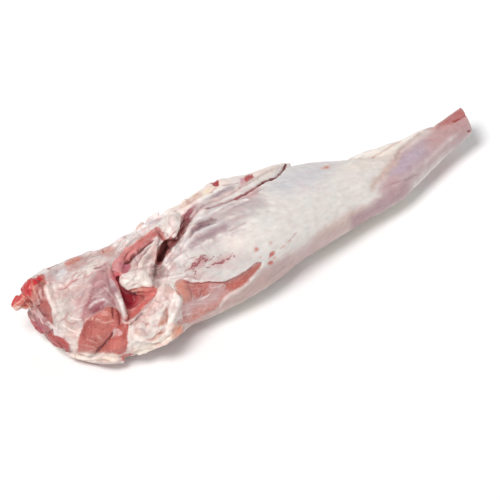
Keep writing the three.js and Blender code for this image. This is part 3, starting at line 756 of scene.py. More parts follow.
# Deep places, red or dark down to their floors: colour, edge, and outline
DEEP_PLACES = [
    ((214, 108, 114), 1.4, [(68, 5), (77, 6), (77, -4), (78, -12), (81, -17.5), (85.5, -22), (82, -27),
        (77, -30), (70, -29), (70, -15), (69, -5)]),
    ((160, 28, 50), 3, [(71, -10), (76, -14), (81, -20), (81, -25), (74, -28), (70, -20)]),
    ((200, 136, 132), 1.5, [(111, -1), (117, 9), (128, 15), (138, 16), (148, 22), (153, 21), (144, 11),
        (133, 5), (122, 0), (116, -5)]),
    ((146, 80, 86), 2.6, [(147, 18.5), (150, 25.2), (154.5, 30.2), (161.5, 32), (163, 27.5), (158, 19),
        (151.5, 14.5)]),
    ((136, 70, 76), 1.5, [(146, 18), (150, 24), (154, 27), (157, 25), (153, 19.5), (148, 15.5)]),
    ((148, 100, 98), 1.6, [(132, 7), (137, 14), (145, 21), (151, 22), (153, 20), (144, 11.5), (136, 6.5)]),
]
for tint, edge, outline in DEEP_PLACES:
    weight = near_side * inside(outline, edge, fray=0.6)
    uncover(tint, weight, weight, 0)

# Fat and torn film over the muscle: colour, edge, how much it covers, rise, crumbly share, and outline
FAT = [
    ((200, 158, 155), 2.5, 0.5, 0, 0, [(-16, 8), (-9, 9), (-4, 3), (-5, -4), (-13, -4), (-17, 0)]),
    ((226, 206, 202), 1.4, 0.9, 0.5, 0, [(-1, -12), (2, -14), (6, -19), (8, -25), (4, -26), (-0.5, -21)]),
    ((214, 164, 160), 2, 0.6, 0.3, 0, [(50, -43), (57, -42), (57, -47), (51, -48)]),
    ((246, 236, 227), 1.2, 1, 0.6, 0.25, [(75, -2), (78, 1), (90, 1), (99, -3), (102, -15), (100, -20),
        (92, -17), (84, -15), (79, -13), (75.5, -8)]),
    ((228, 218, 212), 2.5, 0, 0, 0, [(91, 0), (98, -2), (102, -14), (100, -19), (96, -14), (95, -6)]),
    ((243, 232, 225), 1, 1, 0.6, 0.15, [(128, 26), (131, 19), (137, 13), (143, 16), (148, 24), (152, 38),
        (140, 38), (132, 32)]),
    ((236, 220, 212), 2, 0, 0.6, 1, [(64, -45), (80, -39), (92, -34), (103, -24), (116, -24), (116, -38),
        (100, -56), (96, -68), (60, -69), (58, -58)]),
    ((214, 178, 170), 3.5, 0, 0, 0.3, [(70, -42), (84, -38), (98, -32), (100, -38), (86, -44), (74, -46)]),
    # Cream fat of the flap's foot, made whiter as painted light on its downward face
    ((254, 238, 222), 1.6, 0.6, 0.8, 0.8, [(60, -63), (76, -65), (97, -62), (98, -71), (76, -74),
        (58, -72)]),
    # Tan patch, its own colour raised somewhat as painted light
    ((236, 156, 122), 1.8, 1, 1, 0.2, [(99, -62), (104, -59.5), (109, -62), (109, -69), (98, -71)]),
    ((214, 178, 176), 2, 0.5, 0, 0.2, [(150, -39), (158, -41), (162, -45), (160, -51), (150, -54),
        (143, -48)]),
    ((210, 172, 170), 2, 0.55, 0, 0.2, [(116, -52), (119, -46), (130, -47), (143, -50), (152, -55),
        (140, -56), (122, -54)]),
    ((206, 160, 170), 1, 0.7, 0.2, 0, [(212.5, 30), (213.5, 36), (216.5, 38.5), (218, 33), (217, 29)]),
    # Pale fat frill along the top edge, its own white raised further as painted light
    ((250, 240, 238), 1.4, 0.7, 0.6, 0.3, [(82, 22), (92, 26), (106, 29), (122, 32), (126, 36), (104, 33),
        (88, 28)]),
]
for tint, edge, cover, rise, crumbly, outline in FAT:
    weight = front * inside(outline, edge)
    lay(film_tint, tint, front * inside(outline, edge + 0.8))
    bare *= 1 - cover * weight
    crumble = np.maximum(crumble, crumbly * weight)
    lift += rise * weight

# Ridges (+) and grooves (-): half width, height, colour, its strength, whether muscle shows, and line
LINES = [
    (0.7, 0.4, (204, 170, 170), 0.6, 0, [(-9, 6), (-8, 1), (-7, -3)]),
    (0.7, 0.4, (204, 172, 168), 0.6, 0, [(-5, 5), (-4.5, 0), (-3.5, -4)]),
    (0.6, 0.4, (196, 158, 160), 0.6, 0, [(-13, 4), (-12.5, -1), (-11.5, -5)]),
    (0.6, -0.8, (112, 44, 46), 0.9, 1, [(-2, 10), (-3, 4), (-1, -2), (3, -6)]),
    (0.7, -0.9, (122, 50, 54), 0.9, 1, [(-8, -18), (-4, -19), (1, -17)]),
    (2.8, 1.2, (218, 196, 188), 0.6, 0, [(12, 26), (11, 12), (10, 0), (8.5, -10), (9, -20), (12, -30),
        (13, -37), (9.5, -46)]),
    (0.8, -1.1, (184, 102, 98), 1, 0, [(19, 14), (27, 12), (34, 15), (42, 14.5)]),
    (0.7, -0.6, (206, 160, 156), 0.8, 0, [(42, 14.5), (50, 14), (57, 16)]),
    (2, 0.5, (230, 218, 212), 0.5, 0, [(20, 16.5), (28, 15), (35, 18), (44, 17)]),
    (1.5, -0.5, (206, 166, 166), 0.7, 0, [(24, -14), (34, -4), (46, 6)]),
    (1.3, -0.5, (200, 158, 158), 0.7, 0, [(28, -18), (38, -7), (50, 4)]),
    # Painted highlights: pale arcs of sheen along the bulge's low ridges
    (1.3, 0.5, (226, 208, 208), 0.5, 0, [(38.4, -13.6), (43.6, -11.2), (50, -11), (55, -12.3),
        (58.4, -18)]),
    (0.8, 0.3, (240, 228, 226), 0.5, 0, [(41.5, -12.3), (44, -11), (47, -10.8)]),
    (0.9, 0.3, (236, 224, 228), 0.5, 0, [(53, -11.4), (55.5, -12.6)]),
    (0.7, 0.3, (222, 198, 198), 0.4, 0, [(44, -6), (50, -6.5), (54, -9)]),
    (0.7, 0.3, (216, 190, 194), 0.35, 0, [(52, 3), (57, 5.5), (62, 5)]),
    (0.9, -0.3, (176, 124, 128), 0.4, 0, [(36, -2), (44, 5), (52, 11), (60, 15)]),
    (0.6, 0.4, (222, 196, 196), 0.7, 0, [(58, -2), (61, -7), (62, -13)]),
    (0.8, -0.5, (164, 106, 113), 0.9, 0, [(57, 18), (64, 17), (71, 16)]),
    (0.8, -0.5, (172, 118, 124), 0.9, 0, [(58, 14), (66, 13), (72, 11)]),
    (0.7, -0.4, (176, 130, 134), 0.8, 0, [(52, 8), (60, 11), (68, 10)]),
    (0.6, 0.4, (224, 172, 158), 0.7, 1, [(25, -38), (28.5, -42.5), (32, -46.5)]),
    (0.6, 0.5, (222, 168, 154), 0.6, 1, [(40, -25), (44, -30), (50, -33), (56, -34)]),
    (0.6, 0.4, (218, 162, 148), 0.5, 1, [(46, -23), (50, -26), (55, -27)]),
    (0.6, 0.4, (220, 166, 152), 0.6, 1, [(36.5, -39), (37.5, -43), (38, -46.5)]),
    (0.6, 0.4, (214, 158, 144), 0.4, 1, [(20, -42), (26, -47), (30, -50)]),
    (1.2, -0.4, (156, 76, 72), 0.4, 1, [(33, -23), (34, -30), (31, -37)]),
    (0.9, -0.4, (166, 80, 74), 0.4, 1, [(34, -25), (38, -32), (46, -37), (54, -38)]),
    (0.8, -0.4, (166, 82, 76), 0.4, 1, [(24, -33), (29, -40), (35, -46)]),
    (0.9, -1.4, (130, 40, 42), 1, 1, [(59.2, -21), (57.5, -27), (55, -32)]),
    (0.8, -1.5, (150, 48, 46), 1, 1, [(61.8, -25), (60.8, -33), (58.5, -40)]),
    # Painted glints: small pale wet highlights on the cut muscle
    (0.5, 0.4, (240, 200, 182), 0.8, 1, [(31, -23.8), (32.2, -22.2), (34, -21.4)]),
    (0.5, 0.4, (240, 200, 182), 0.7, 1, [(37, -23.8), (39, -22)]),
    (0.5, 0.4, (240, 200, 182), 0.7, 1, [(41, -24), (42.6, -26.4), (45, -28.5)]),
    (0.7, -0.5, (186, 140, 136), 0.7, 0, [(13, -13), (18, -19), (25, -22)]),
    (0.7, 0.4, (244, 232, 224), 0.7, 0, [(11, -16), (15, -23), (20, -29)]),
    (0.6, 0.3, (240, 226, 218), 0.6, 0, [(19, -12), (23, -17), (29, -20)]),
    (1, -2.2, (124, 42, 42), 1, 1, [(27, -53), (36, -50.5), (44, -47.5), (51, -42)]),
    (3.5, 1.5, (243, 224, 210), 1.1, 0, [(4, -46), (12, -51), (25, -56.5), (36, -62), (46, -67.5)]),
    (0.8, -1.1, (202, 166, 146), 1, 0, [(6, -52), (16, -56), (26, -60), (36, -66)]),
    (0.9, -2.4, (104, 60, 54), 1, 0, [(66, -43), (71, -42.5), (77, -39), (82, -37)]),
    (0.7, 0.5, (230, 186, 174), 0.8, 0, [(61.5, -38.5), (65, -40.3), (69, -41)]),
    (1.9, 0.7, (156, 106, 113), 0.9, 0, [(67.5, 3), (66.8, -4), (67, -10), (67.2, -15)]),
    (2.2, 0.8, (208, 188, 185), 0.9, 0, [(67.2, -12), (67.4, -22), (66.6, -29), (65.5, -36)]),
    # Painted highlight down the middle of the lip
    (0.9, 0.2, (230, 216, 212), 0.4, 0, [(67.4, -12), (67.6, -22), (66.4, -30)]),
    (1.6, 0, (186, 132, 134), 0.8, 0, [(71, 18), (70, 12), (68.5, 6), (68, 3)]),
    (1.2, -3.4, (92, 34, 32), 1.2, 1, [(85, 10), (91.5, 11.3), (96.5, 14), (103, 16.4), (112.5, 17.9),
        (119, 19.4)]),
    (0.9, 0.5, (230, 150, 142), 0.8, 1, [(86, 16), (94, 18.6), (106, 21), (118, 23)]),
    (0.8, -0.6, (224, 212, 203), 0.8, 0, [(82, 0), (86, -6), (92, -11)]),
    (2.4, -3.6, (140, 80, 80), 0.95, 1, [(113, -1), (121, 3), (130, 7.5), (138, 10.5), (146, 15),
        (152, 20)]),
    (2.6, 2.4, (236, 226, 221), 1, 0, [(116, -7.5), (121, -4), (130, 1), (142, 7.3), (153, 14.4),
        (164, 21.4), (176, 25.4)]),
    (1, -1, (196, 184, 182), 0.8, 0, [(118, -6), (128, -1), (138, 5), (147, 9)]),
    (1.9, 1.4, (220, 212, 211), 0.7, 0, [(140, 0), (150, 5), (160, 7.5), (182, 9)]),
    (1.8, 0.6, (228, 220, 216), 0.4, 0, [(178, 9), (196, 9), (214, 8)]),
    (1, -0.8, (206, 194, 194), 0.7, 0, [(182, 7), (196, 6), (212, 5)]),
    (2, 1, (230, 222, 218), 0.8, 0, [(118, -9), (132, -6), (150, -3.5), (172, -3), (192, -4)]),
    (0.8, -0.7, (186, 176, 174), 0.8, 0, [(124, -5), (136, -3), (143, -2)]),
    (1.8, 1, (236, 231, 228), 0.8, 0, [(158, 18.5), (176, 19.5), (196, 19), (216, 17)]),
    (0.8, -0.5, (168, 140, 132), 0.7, 0, [(168, 14), (173, 13.5), (178, 12)]),
    (0.7, 0.5, (150, 122, 130), 0.6, 0, [(154, 11), (162, 13.5), (172, 12.5)]),
    (1, -1.6, (158, 122, 126), 0.9, 0, [(172, 25), (180, 25), (192, 23.5), (204, 22.5)]),
    (1, -1.8, (150, 96, 102), 0.9, 1, [(200, 22.5), (208, 23.2), (217, 24), (227, 25.6)]),
    (1, -2.6, (84, 42, 48), 1, 1, [(223, 25), (233, 26.6), (245, 26.5), (254, 30), (260, 33)]),
    (0.8, -0.5, (172, 148, 152), 0.6, 0, [(171, 16.8), (186, 18.3), (202, 18.7)]),
    (0.8, -0.5, (176, 154, 158), 0.6, 0, [(188, 15), (202, 15.6), (222, 14.8)]),
    (0.7, -0.4, (184, 160, 158), 0.5, 0, [(184, -2), (194, -1), (204, -0.7)]),
    (1, 0.4, (240, 234, 228), 0.6, 0, [(187, -6), (197, -7.5), (207, -9.4)]),
    (0.7, -0.4, (182, 162, 168), 0.5, 0, [(206, 20), (220, 20.5), (234, 21)]),
    (0.6, -0.4, (176, 120, 104), 0.7, 0, [(182, 36.5), (187, 38.3), (192, 40)]),
    (0.7, -0.5, (146, 120, 134), 0.7, 0, [(181, 31.6), (190, 32.4), (199, 32.6)]),
    (0.6, -0.5, (168, 130, 124), 0.7, 0, [(195.7, 38.6), (204, 37), (213, 34.4)]),
    (0.6, -0.4, (172, 146, 158), 0.7, 0, [(118, 32.5), (125, 34.4), (131, 36)]),
    (0.6, -0.3, (186, 150, 152), 0.6, 0, [(206.5, -55.3), (213, -53.6), (219.3, -52.4)]),
    (0.5, -0.3, (196, 156, 150), 0.6, 0, [(231, -33), (237, -31), (243, -28.5)]),
    (1, -0.4, (196, 168, 170), 0.5, 0, [(166, 29), (186, 27.5), (204, 29), (222, 29.5)]),
    (1.4, 0.5, (240, 230, 224), 0.7, 0, [(204, 26), (216, 28), (232, 30), (246, 30)]),
    (2.6, 0.8, (250, 240, 234), 1.2, 0, [(116, -24), (115.5, -31), (115, -38)]),
    # White strap of fat, widened and made stronger as painted light over the shaded valley beside it
    (4.2, 1.2, (252, 243, 237), 1.3, 0, [(115.2, -35), (114.6, -42), (111.6, -47.8), (105.6, -53.8)]),
    (2.2, 1, (250, 240, 230), 1.2, 0, [(107, -52), (98.6, -58.5), (94, -66)]),
    (1.5, 0.7, (228, 218, 214), 0.6, 0, [(127, -22.5), (136, -29), (146, -34), (160, -39), (174, -42),
        (198, -37)]),
    (1.5, 0.6, (216, 198, 192), 0.5, 0, [(146, -64), (158, -58), (176, -54), (192, -49), (202, -43)]),
    (0.7, -1, (170, 84, 76), 0.9, 1, [(128, -25), (136, -32), (146, -37), (158, -41), (168, -45)]),
    (0.8, -0.4, (182, 106, 98), 0.6, 1, [(131, -31), (131, -38), (127, -45)]),
    (0.6, 0.5, (236, 214, 208), 0.8, 1, [(108, -53), (114, -56), (122, -57)]),
    (0.6, 0.4, (226, 200, 194), 0.5, 1, [(132, -49), (140, -52), (150, -54)]),
    (2.2, -1.2, (200, 178, 172), 0.7, 0, [(352, -6), (358, 0), (375, 5.5), (398, 10)]),
    (1.6, 0.8, (240, 234, 226), 0.8, 0, [(308, 9), (330, 13), (360, 12.5), (392, 12)]),
    (0.9, -0.7, (214, 196, 186), 0.7, 0, [(332, 5), (346, 7), (366, 10)]),
    (2.4, 0.8, (210, 192, 192), 0.6, 0, [(340, -27), (380, -17), (418, -5)]),
    (1.2, -0.6, (172, 140, 148), 0.7, 0, [(336, -24), (350, -25), (366, -26)]),
    (1, -0.8, (154, 58, 60), 0.9, 1, [(414, 5), (422, 5), (430, 7)]),
    (0.8, 0.4, (230, 196, 186), 0.5, 1, [(398, 8), (408, 13), (420, 15)]),
    (1.4, 0.6, (222, 200, 196), 0.8, 0, [(0, -13), (3, -17), (6, -22)]),
    (0.6, 0.4, (206, 178, 178), 0.6, 0, [(-3, -9), (-2, -12), (-1, -14)]),
    (0.7, -0.7, (214, 196, 188), 0.7, 0, [(78, -9), (85, -7), (92, -3)]),
    (0.6, -0.5, (216, 198, 190), 0.6, 0, [(85, -12), (92, -10), (98, -6)]),
    (0.8, -0.6, (178, 160, 162), 0.6, 0, [(114, -14), (122, -17), (131, -20)]),
    (0.7, -0.5, (190, 174, 174), 0.6, 0, [(116, -18), (124, -22), (134, -25)]),
    (0.7, -0.5, (192, 178, 178), 0.6, 0, [(118, -11), (128, -12), (138, -14)]),
    (0.8, -0.5, (186, 160, 160), 0.6, 0, [(120, -27), (130, -24), (138, -27), (143, -33)]),
    (0.8, -0.5, (176, 158, 164), 0.6, 0, [(176, 33), (190, 34), (206, 34.5)]),
    (0.8, -0.5, (204, 170, 166), 0.6, 0, [(150, 36), (164, 37), (178, 39)]),
    (0.6, 0.4, (232, 178, 164), 0.6, 1, [(92, 21), (104, 25), (118, 27)]),
    (0.7, -0.3, (180, 90, 86), 0.4, 1, [(84, 14), (94, 18), (106, 20.5)]),
    # Painted shade: a broad grey-brown groove in the crevice below the slot
    (3, -1.8, (142, 116, 112), 0.9, 0, [(113.5, -2), (110, -8), (107.5, -13), (105.5, -18)]),
    (1.2, 0.6, (230, 212, 206), 0.8, 0, [(92, 5), (99, 11), (109, 14.6), (121, 17.6)]),
    (1, 0.5, (220, 200, 194), 0.7, 0, [(97, 1), (103, 8), (112, 13)]),
    (1, -0.6, (172, 142, 138), 0.7, 0, [(94, 4), (101, 10), (111, 14.5)]),
    (0.9, -0.5, (176, 150, 146), 0.6, 0, [(101, -2), (106, 4), (113, 9)]),
    # Painted light over the crease's own shadow, which is also partly filled
    (1.6, 0.4, (236, 218, 210), 0.6, 0, [(168, 30.5), (190, 30), (210, 31), (232, 32.5), (252, 34)]),
    (0.9, -1.4, (96, 48, 50), 0.9, 1, [(146.5, 20), (149, 22.5), (152, 24.5)]),
    (0.8, -0.6, (186, 120, 102), 0.5, 0, [(74, -61.5), (80, -62.8), (86, -61), (92, -61.5), (96, -58)]),
    (0.8, -0.7, (176, 108, 92), 0.6, 0, [(98, -55), (101.5, -49.5), (104.5, -43)]),
    (0.6, -0.6, (150, 66, 64), 0.7, 1, [(124, 28), (125, 22), (127, 16)]),
    (0.6, 0.5, (214, 150, 146), 0.7, 1, [(126.5, 28), (127, 22), (128.5, 16)]),
    (0.7, 0.4, (190, 140, 138), 0.7, 1, [(120, 10), (130, 14), (141, 18)]),
    (0.6, 0.4, (176, 122, 120), 0.7, 1, [(117, 5), (126, 10), (136, 13.5)]),
    (0.6, 0.4, (214, 176, 168), 0.6, 1, [(-8, 5), (-7, 9), (-6, 12)]),
    (0.6, 0.4, (214, 176, 168), 0.6, 1, [(-2.5, 8), (-1.5, 12), (-0.5, 16)]),
    (0.6, 0.4, (216, 184, 176), 0.6, 1, [(3, 12), (4, 16), (5, 20)]),
    (0.6, 0.4, (222, 192, 184), 0.7, 1, [(8, 14), (9, 19), (10, 23)]),
    (0.6, -0.5, (150, 74, 72), 0.7, 1, [(0.5, 8), (1.5, 13), (2.5, 19)]),
    (0.6, -0.5, (150, 74, 72), 0.7, 1, [(6, 12), (7, 18), (8.5, 24)]),
    (0.6, -0.4, (170, 110, 112), 0.7, 1, [(149, 22), (154, 27), (160, 30)]),
    (0.7, -0.5, (182, 128, 134), 0.7, 0, [(156, 26), (163, 30), (172, 33)]),
    (0.7, 0.4, (236, 214, 210), 0.7, 0, [(153, 29), (160, 32.5), (169, 35.5)]),
    (0.7, 0.4, (230, 210, 208), 0.6, 0, [(157, 23), (164, 27.5), (173, 30.5)]),
    (0.6, -0.4, (140, 82, 84), 0.5, 1, [(-11, 4), (-10.5, -4), (-9, -12)]),
    (0.5, 0.4, (222, 192, 188), 0.7, 0, [(-6.5, 3), (-6, -4), (-5, -10)]),
    (0.6, -0.5, (126, 60, 62), 0.7, 1, [(-12.5, -8), (-10, -16), (-6, -26)]),
    (0.5, 0.4, (200, 130, 126), 0.4, 1, [(-5, -22), (-2, -29), (2, -36)]),
    (0.5, -0.4, (120, 42, 42), 0.7, 1, [(-1, -27), (2, -32), (4, -38)]),
    (0.5, 0.4, (232, 206, 200), 0.7, 0, [(-1.5, -8), (1, -13), (4, -18)]),
    (0.7, 0.5, (248, 226, 220), 0.8, 0, [(84, 21.5), (96, 26.6), (110, 29.8), (122, 32)]),
    (0.6, -0.5, (156, 130, 126), 0.7, 0, [(95, 6), (101, 10), (109, 13.2), (117, 15.6)]),
    (0.6, 0.4, (242, 230, 224), 0.7, 0, [(95, 2), (100, 7), (108, 11), (116, 14)]),
    (0.6, -0.5, (154, 128, 124), 0.7, 0, [(98, -1), (103, 4), (109, 8), (116, 11)]),
    (0.6, 0.4, (236, 222, 216), 0.6, 0, [(102, -6), (106, 0), (111, 5)]),
    (0.6, 0.4, (232, 206, 202), 0.7, 0, [(130, -48), (138, -49.5), (146, -47)]),
    (0.6, 0.4, (230, 204, 200), 0.7, 0, [(124, -48.5), (132, -52), (140, -54)]),
    (0.6, 0.4, (230, 206, 204), 0.6, 0, [(148, -43), (154, -45), (160, -44.5)]),
    (0.6, 0.4, (216, 168, 166), 0.7, 1, [(147, 23), (152, 29), (158, 32)]),
    (0.8, -0.6, (146, 118, 130), 0.9, 0, [(93, 23), (99, 25.6), (105, 28)]),
]
LINE_TINTING = 1.2
for half_width, height, tint, strength, shows, line in LINES:
    weight = front * beside(line, half_width)
    lift += height * weight
    strong = np.clip(LINE_TINTING * strength * weight * broken, 0, 1)
    lay(film_tint, tint, strong)
    lay(flesh_tint, tint, strong)
    if shows:
        bare = np.maximum(bare, strong)
    elif height > 0:
        bare *= 1 - strong

# Blood in cracks of the film and in small spots: half width, and the line that it follows
VEINS = [
    (0.5, [(129, -19.5), (133, -18.5), (137, -19.5), (140, -18), (144, -20)]),
    (0.5, [(136, -16), (141, -17), (143, -14.5), (147, -16.5), (151, -14.5), (157, -16.5)]),
    (1.4, [(143, -19), (146.5, -17), (149, -14.5)]),
    (1, [(140, -18), (143, -17), (145, -19.5)]),
    (0.5, [(145, -12.5), (149, -13.5), (152, -11.5), (156, -14)]),
    (0.4, [(152, -23.5), (156, -25), (160, -24)]),
    (0.7, [(158, -26), (162, -24), (166, -26), (170, -23.5), (174, -25), (178, -23)]),
    (1.3, [(163, -25), (168, -25.5), (172, -24)]),
    (0.5, [(157, -19), (162, -17.5), (166, -19), (170, -17)]),
    (0.4, [(140, -31), (139, -27), (141, -24), (138, -22)]),
    (0.4, [(134, -9.5), (139, -11), (143, -10), (150, -11)]),
    (0.4, [(209.5, -38.6), (211.5, -37.8)]),
    (0.5, [(206.6, -43.8), (208, -44.4)]),
    (1.4, [(190, 43), (191.5, 40.5), (193, 43)]),
    (1.1, [(71.5, 30), (72.5, 28)]),
    (1.6, [(424, -8), (427, -9.5)]),
    (0.8, [(22, 13.5), (25, 13)]),
    (0.7, [(58, 17.5), (62, 17), (66, 17.5)]),
]
VEIN_DEPTH = 0.5
dotted = soft_step(noise(body, size=2.4, seed=39), -0.6, 0.3)
for half_width, line in VEINS:
    stain = front * beside(line, 1.2 * half_width, fray=1.5) * np.clip(broken, 0.6, 1.1)
    stain *= 0.7 + 0.3 * dotted
    blood = np.maximum(blood, stain)
    lift -= VEIN_DEPTH * stain

# Places that are speckled with blood
SPECKLED = [
    [(130, -24), (137, -16), (147, -11), (159, -14), (157, -20), (146, -24)],
    [(156, -28), (164, -23), (180, -21), (182, -25), (170, -29)],
]
specks = soft_step(noise(body, size=2.4, seed=43), 0.3, 0.7)
for outline in SPECKLED:
    blood = np.maximum(blood, 0.8 * front * inside(outline, 3) * specks)

# Fine strands of film and thin red streaks, strewn over the torn end, and fainter where the film is thin
STRANDS = 190
STREWN_FROM = (3, -62)
STREWN_TO = (122, 34)
STRAND_SLOPE = (0.35, 0.6)
STRAND_LENGTH = (5, 16)
STRAND_BEND = 0.25
STRAND_HALF_WIDTH = (0.4, 0.8)
STRAND_HEIGHT = (-0.35, 0.45)
STRAND_TINTS = [(244, 234, 228), (238, 224, 216), (204, 152, 148), (174, 104, 104), (184, 152, 160)]
THIN_PLACE = [(26, -18), (44, 4), (66, 18), (67, -6), (63, -22)]
thick_film = 1 - 0.6 * inside(THIN_PLACE, 4)
strewn = np.random.RandomState(3)
for _ in range(STRANDS):
    start = strewn.uniform(STREWN_FROM, STREWN_TO)
    slope = strewn.normal(*STRAND_SLOPE)
    length = strewn.uniform(*STRAND_LENGTH)
    run = np.array([math.cos(slope), math.sin(slope)])
    sideways = np.array([-run[1], run[0]]) * strewn.uniform(-STRAND_BEND, STRAND_BEND)
    line = [start, start + (run / 2 + sideways) * length, start + run * length]
    weight = front * (1 - 0.8 * bare) * beside(line, strewn.uniform(*STRAND_HALF_WIDTH))
    weight *= np.clip(broken, 0.4, 1)
    weight *= thick_film
    lift += strewn.uniform(*STRAND_HEIGHT) * weight
    lay(film_tint, STRAND_TINTS[strewn.randint(len(STRAND_TINTS))], 0.6 * weight)

# Small unevenness: pink and pale blotches, and film that is creased near the cuts and calm further on
PINK_BLUSH = (198, 142, 138)
PALE_BLUSH = (240, 230, 224)
CREASE_PINK = (196, 154, 150)
CALM_FADES = (90, 230)
calm = soft_step(flat[:, 0], *CALM_FADES)
blush = noise(body, size=10, seed=38, octaves=3)
lay(film_tint, PINK_BLUSH, 0.4 * (1 - calm) * front * soft_step(blush, 0.2, 0.8))
lay(film_tint, PALE_BLUSH, 0.4 * (1 - calm) * front * thick_film * soft_step(-blush, 0.25, 0.8))
bent = body + 3 * np.stack([noise(body, size=14, seed=seed, octaves=1) for seed in (31, 32, 33)], axis=1)
waves = (0.8 - 0.5 * calm) * noise(body, size=18, seed=21)
waves += (0.4 - 0.3 * calm) * noise(bent, size=5, seed=22)
lift += waves
crease = np.exp(-(noise(bent, size=12, seed=24) / 0.07) ** 2)
crease *= soft_step(noise(body, size=26, seed=25, octaves=1), -0.1, 0.4)
crease *= (1 - 0.85 * calm) * (1 - bare)
lift -= 0.8 * crease
lay(film_tint, CREASE_PINK, 0.5 * crease)

# Crumbly fat, darker between its lumps, then the fibres of bare muscle, and long streaks on the thigh
BETWEEN_LUMPS = (204, 164, 154)
STREAK_GREY = (196, 180, 182)
STREAKY_PLACE = [(112, -10), (128, 6), (150, 22), (180, 28), (230, 22), (225, -4), (180, -10)]
lumps = noise(bent, size=11, seed=26, octaves=3)
lift += crumble * (0.5 * lumps + 0.75 * noise(squeezed(bent, 0.7), size=3.4, seed=30, octaves=3))
lay(film_tint, BETWEEN_LUMPS, 0.6 * crumble * soft_step(-lumps, 0.15, 0.7))
fibre = noise(squeezed(seen, 0.3) + 0.4 * wobble[:, :1], size=3, seed=23)
uneven = 0.25 * fibre + 0.6 * noise(body, size=13, seed=37)
lift += front * soft_step(bare, 0.4, 0.8) * uneven
streaks = noise(squeezed(seen, 0.16) + wobble[:, :1], size=4.5, seed=27)
streaky = front * inside(STREAKY_PLACE, 10)
lift += 0.5 * streaky * streaks
lay(film_tint, STREAK_GREY, 0.5 * streaky * soft_step(-streaks, 0.1, 0.6))

# What the leg rests on stays flat
REST_FADES = (0.3, 3)
off_table = soft_step(points[:, 2] / MM, *REST_FADES)
points = points + normals * (lift * MM * off_table)[:, None]
points = points + 0.2 * (near_mean(points, leg_edges) - points)
points[:, 2] = np.maximum(points[:, 2], 0)
set_points(leg_mesh, points)

# The sawn shank end shows muscle inside a rim of film
SAWN_MUSCLE = (182, 102, 98)
normals = mesh_rows(leg_mesh.vertices, "normal")
SAWN_FADES = 0.012
sawn_end = soft_step(points[:, 0], leg_high.x - SAWN_FADES, leg_high.x - SAWN_WITHIN)
sawn_end *= soft_step(normals[:, 0], 0.55, 0.85)
lay(flesh_tint, SAWN_MUSCLE, sawn_end)
bare = np.maximum(bare, sawn_end)

# Mottling, painted shade in the hollows (pinker film, darker flesh), and a painted highlight on raised
# edges
PINK_HOLLOW_SHADE = (186, 142, 140)
DARK_HOLLOW_SHADE = (128, 44, 46)
HOLLOW_BLUR = 2
hollow = np.einsum("ij,ij->i", near_mean(points, leg_edges) - points, normals) / MM
hollow = blurred(hollow, leg_edges, HOLLOW_BLUR)
mottle = noise(body, size=9, seed=35, octaves=3)
threads = noise(squeezed(seen, 0.25) + 0.6 * wobble[:, :1], size=2.6, seed=40)
warm = noise(body, size=22, seed=36) * (1 - 0.5 * calm)
film_tint *= (1 + (0.16 - 0.13 * calm) * mottle + 0.08 * threads + 0.05 * warm)[:, None]
film_tint += film_tint * np.outer(warm, [0, -0.03, -0.035])
flesh_tint *= (1 + 0.14 * mottle)[:, None] + np.outer(warm, [0, -0.06, -0.06])
# Painted shade in hollows, pinker on the film and darker on the flesh (partly bare meat's deeper red), and
# a painted highlight whitening raised film
lay(film_tint, PINK_HOLLOW_SHADE, 0.6 * soft_step(hollow, 0.02, 0.14))
film_tint *= (1 + 0.14 * soft_step(-hollow, 0.02, 0.11))[:, None]
lay(flesh_tint, DARK_HOLLOW_SHADE, 0.5 * soft_step(hollow, 0.03, 0.16))


def store_tint(mesh, name, values):
    layer = mesh.attributes.new(name, "FLOAT_COLOR", "POINT")
    full = np.ones((len(values), 4))
    full[:, :3] = values
    layer.data.foreach_set("color", full.ravel())


def store_share(mesh, name, values):
    layer = mesh.attributes.new(name, "FLOAT", "POINT")
    layer.data.foreach_set("value", values)


BRIGHTEST = 0.93
for name, tints in (("film_tint", film_tint), ("flesh_tint", flesh_tint)):
    np.maximum(tints, 0, out=tints)
    tints *= np.minimum(1, BRIGHTEST / np.maximum(tints.max(axis=1), 0.01))[:, None]
    store_tint(leg_mesh, name, tints)
for name, shares in (("bare", bare), ("blood", blood), ("veil", veil)):
    store_share(leg_mesh, name, shares)

# The far side and the calm film need fewer faces than the torn end
MOST_TRIANGLES = 192000
FAR_KEPT = 0.28
CALM_FROM = 170
far_rows = front < 0.2
calm_rows = ~far_rows & (flat[:, 0] > CALM_FROM)
faces = 2 * len(points)
far_dropped = 2 * far_rows.sum() * (1 - FAR_KEPT)
calm_dropped = faces - far_dropped - MOST_TRIANGLES
for name, rows, dropped in (("far side", far_rows, far_dropped), ("calm film", calm_rows, calm_dropped)):
    group = leg.vertex_groups.new(name=name)
    group.add(np.flatnonzero(rows).tolist(), 1, "REPLACE")
    fewer = leg.modifiers.new("fewer faces, " + name, "DECIMATE")
    fewer.vertex_group = name
    fewer.vertex_group_factor = 10
    fewer.ratio = 1 - dropped / faces
    faces -= dropped
leg_mesh = applied(leg)
leg.vertex_groups.clear()


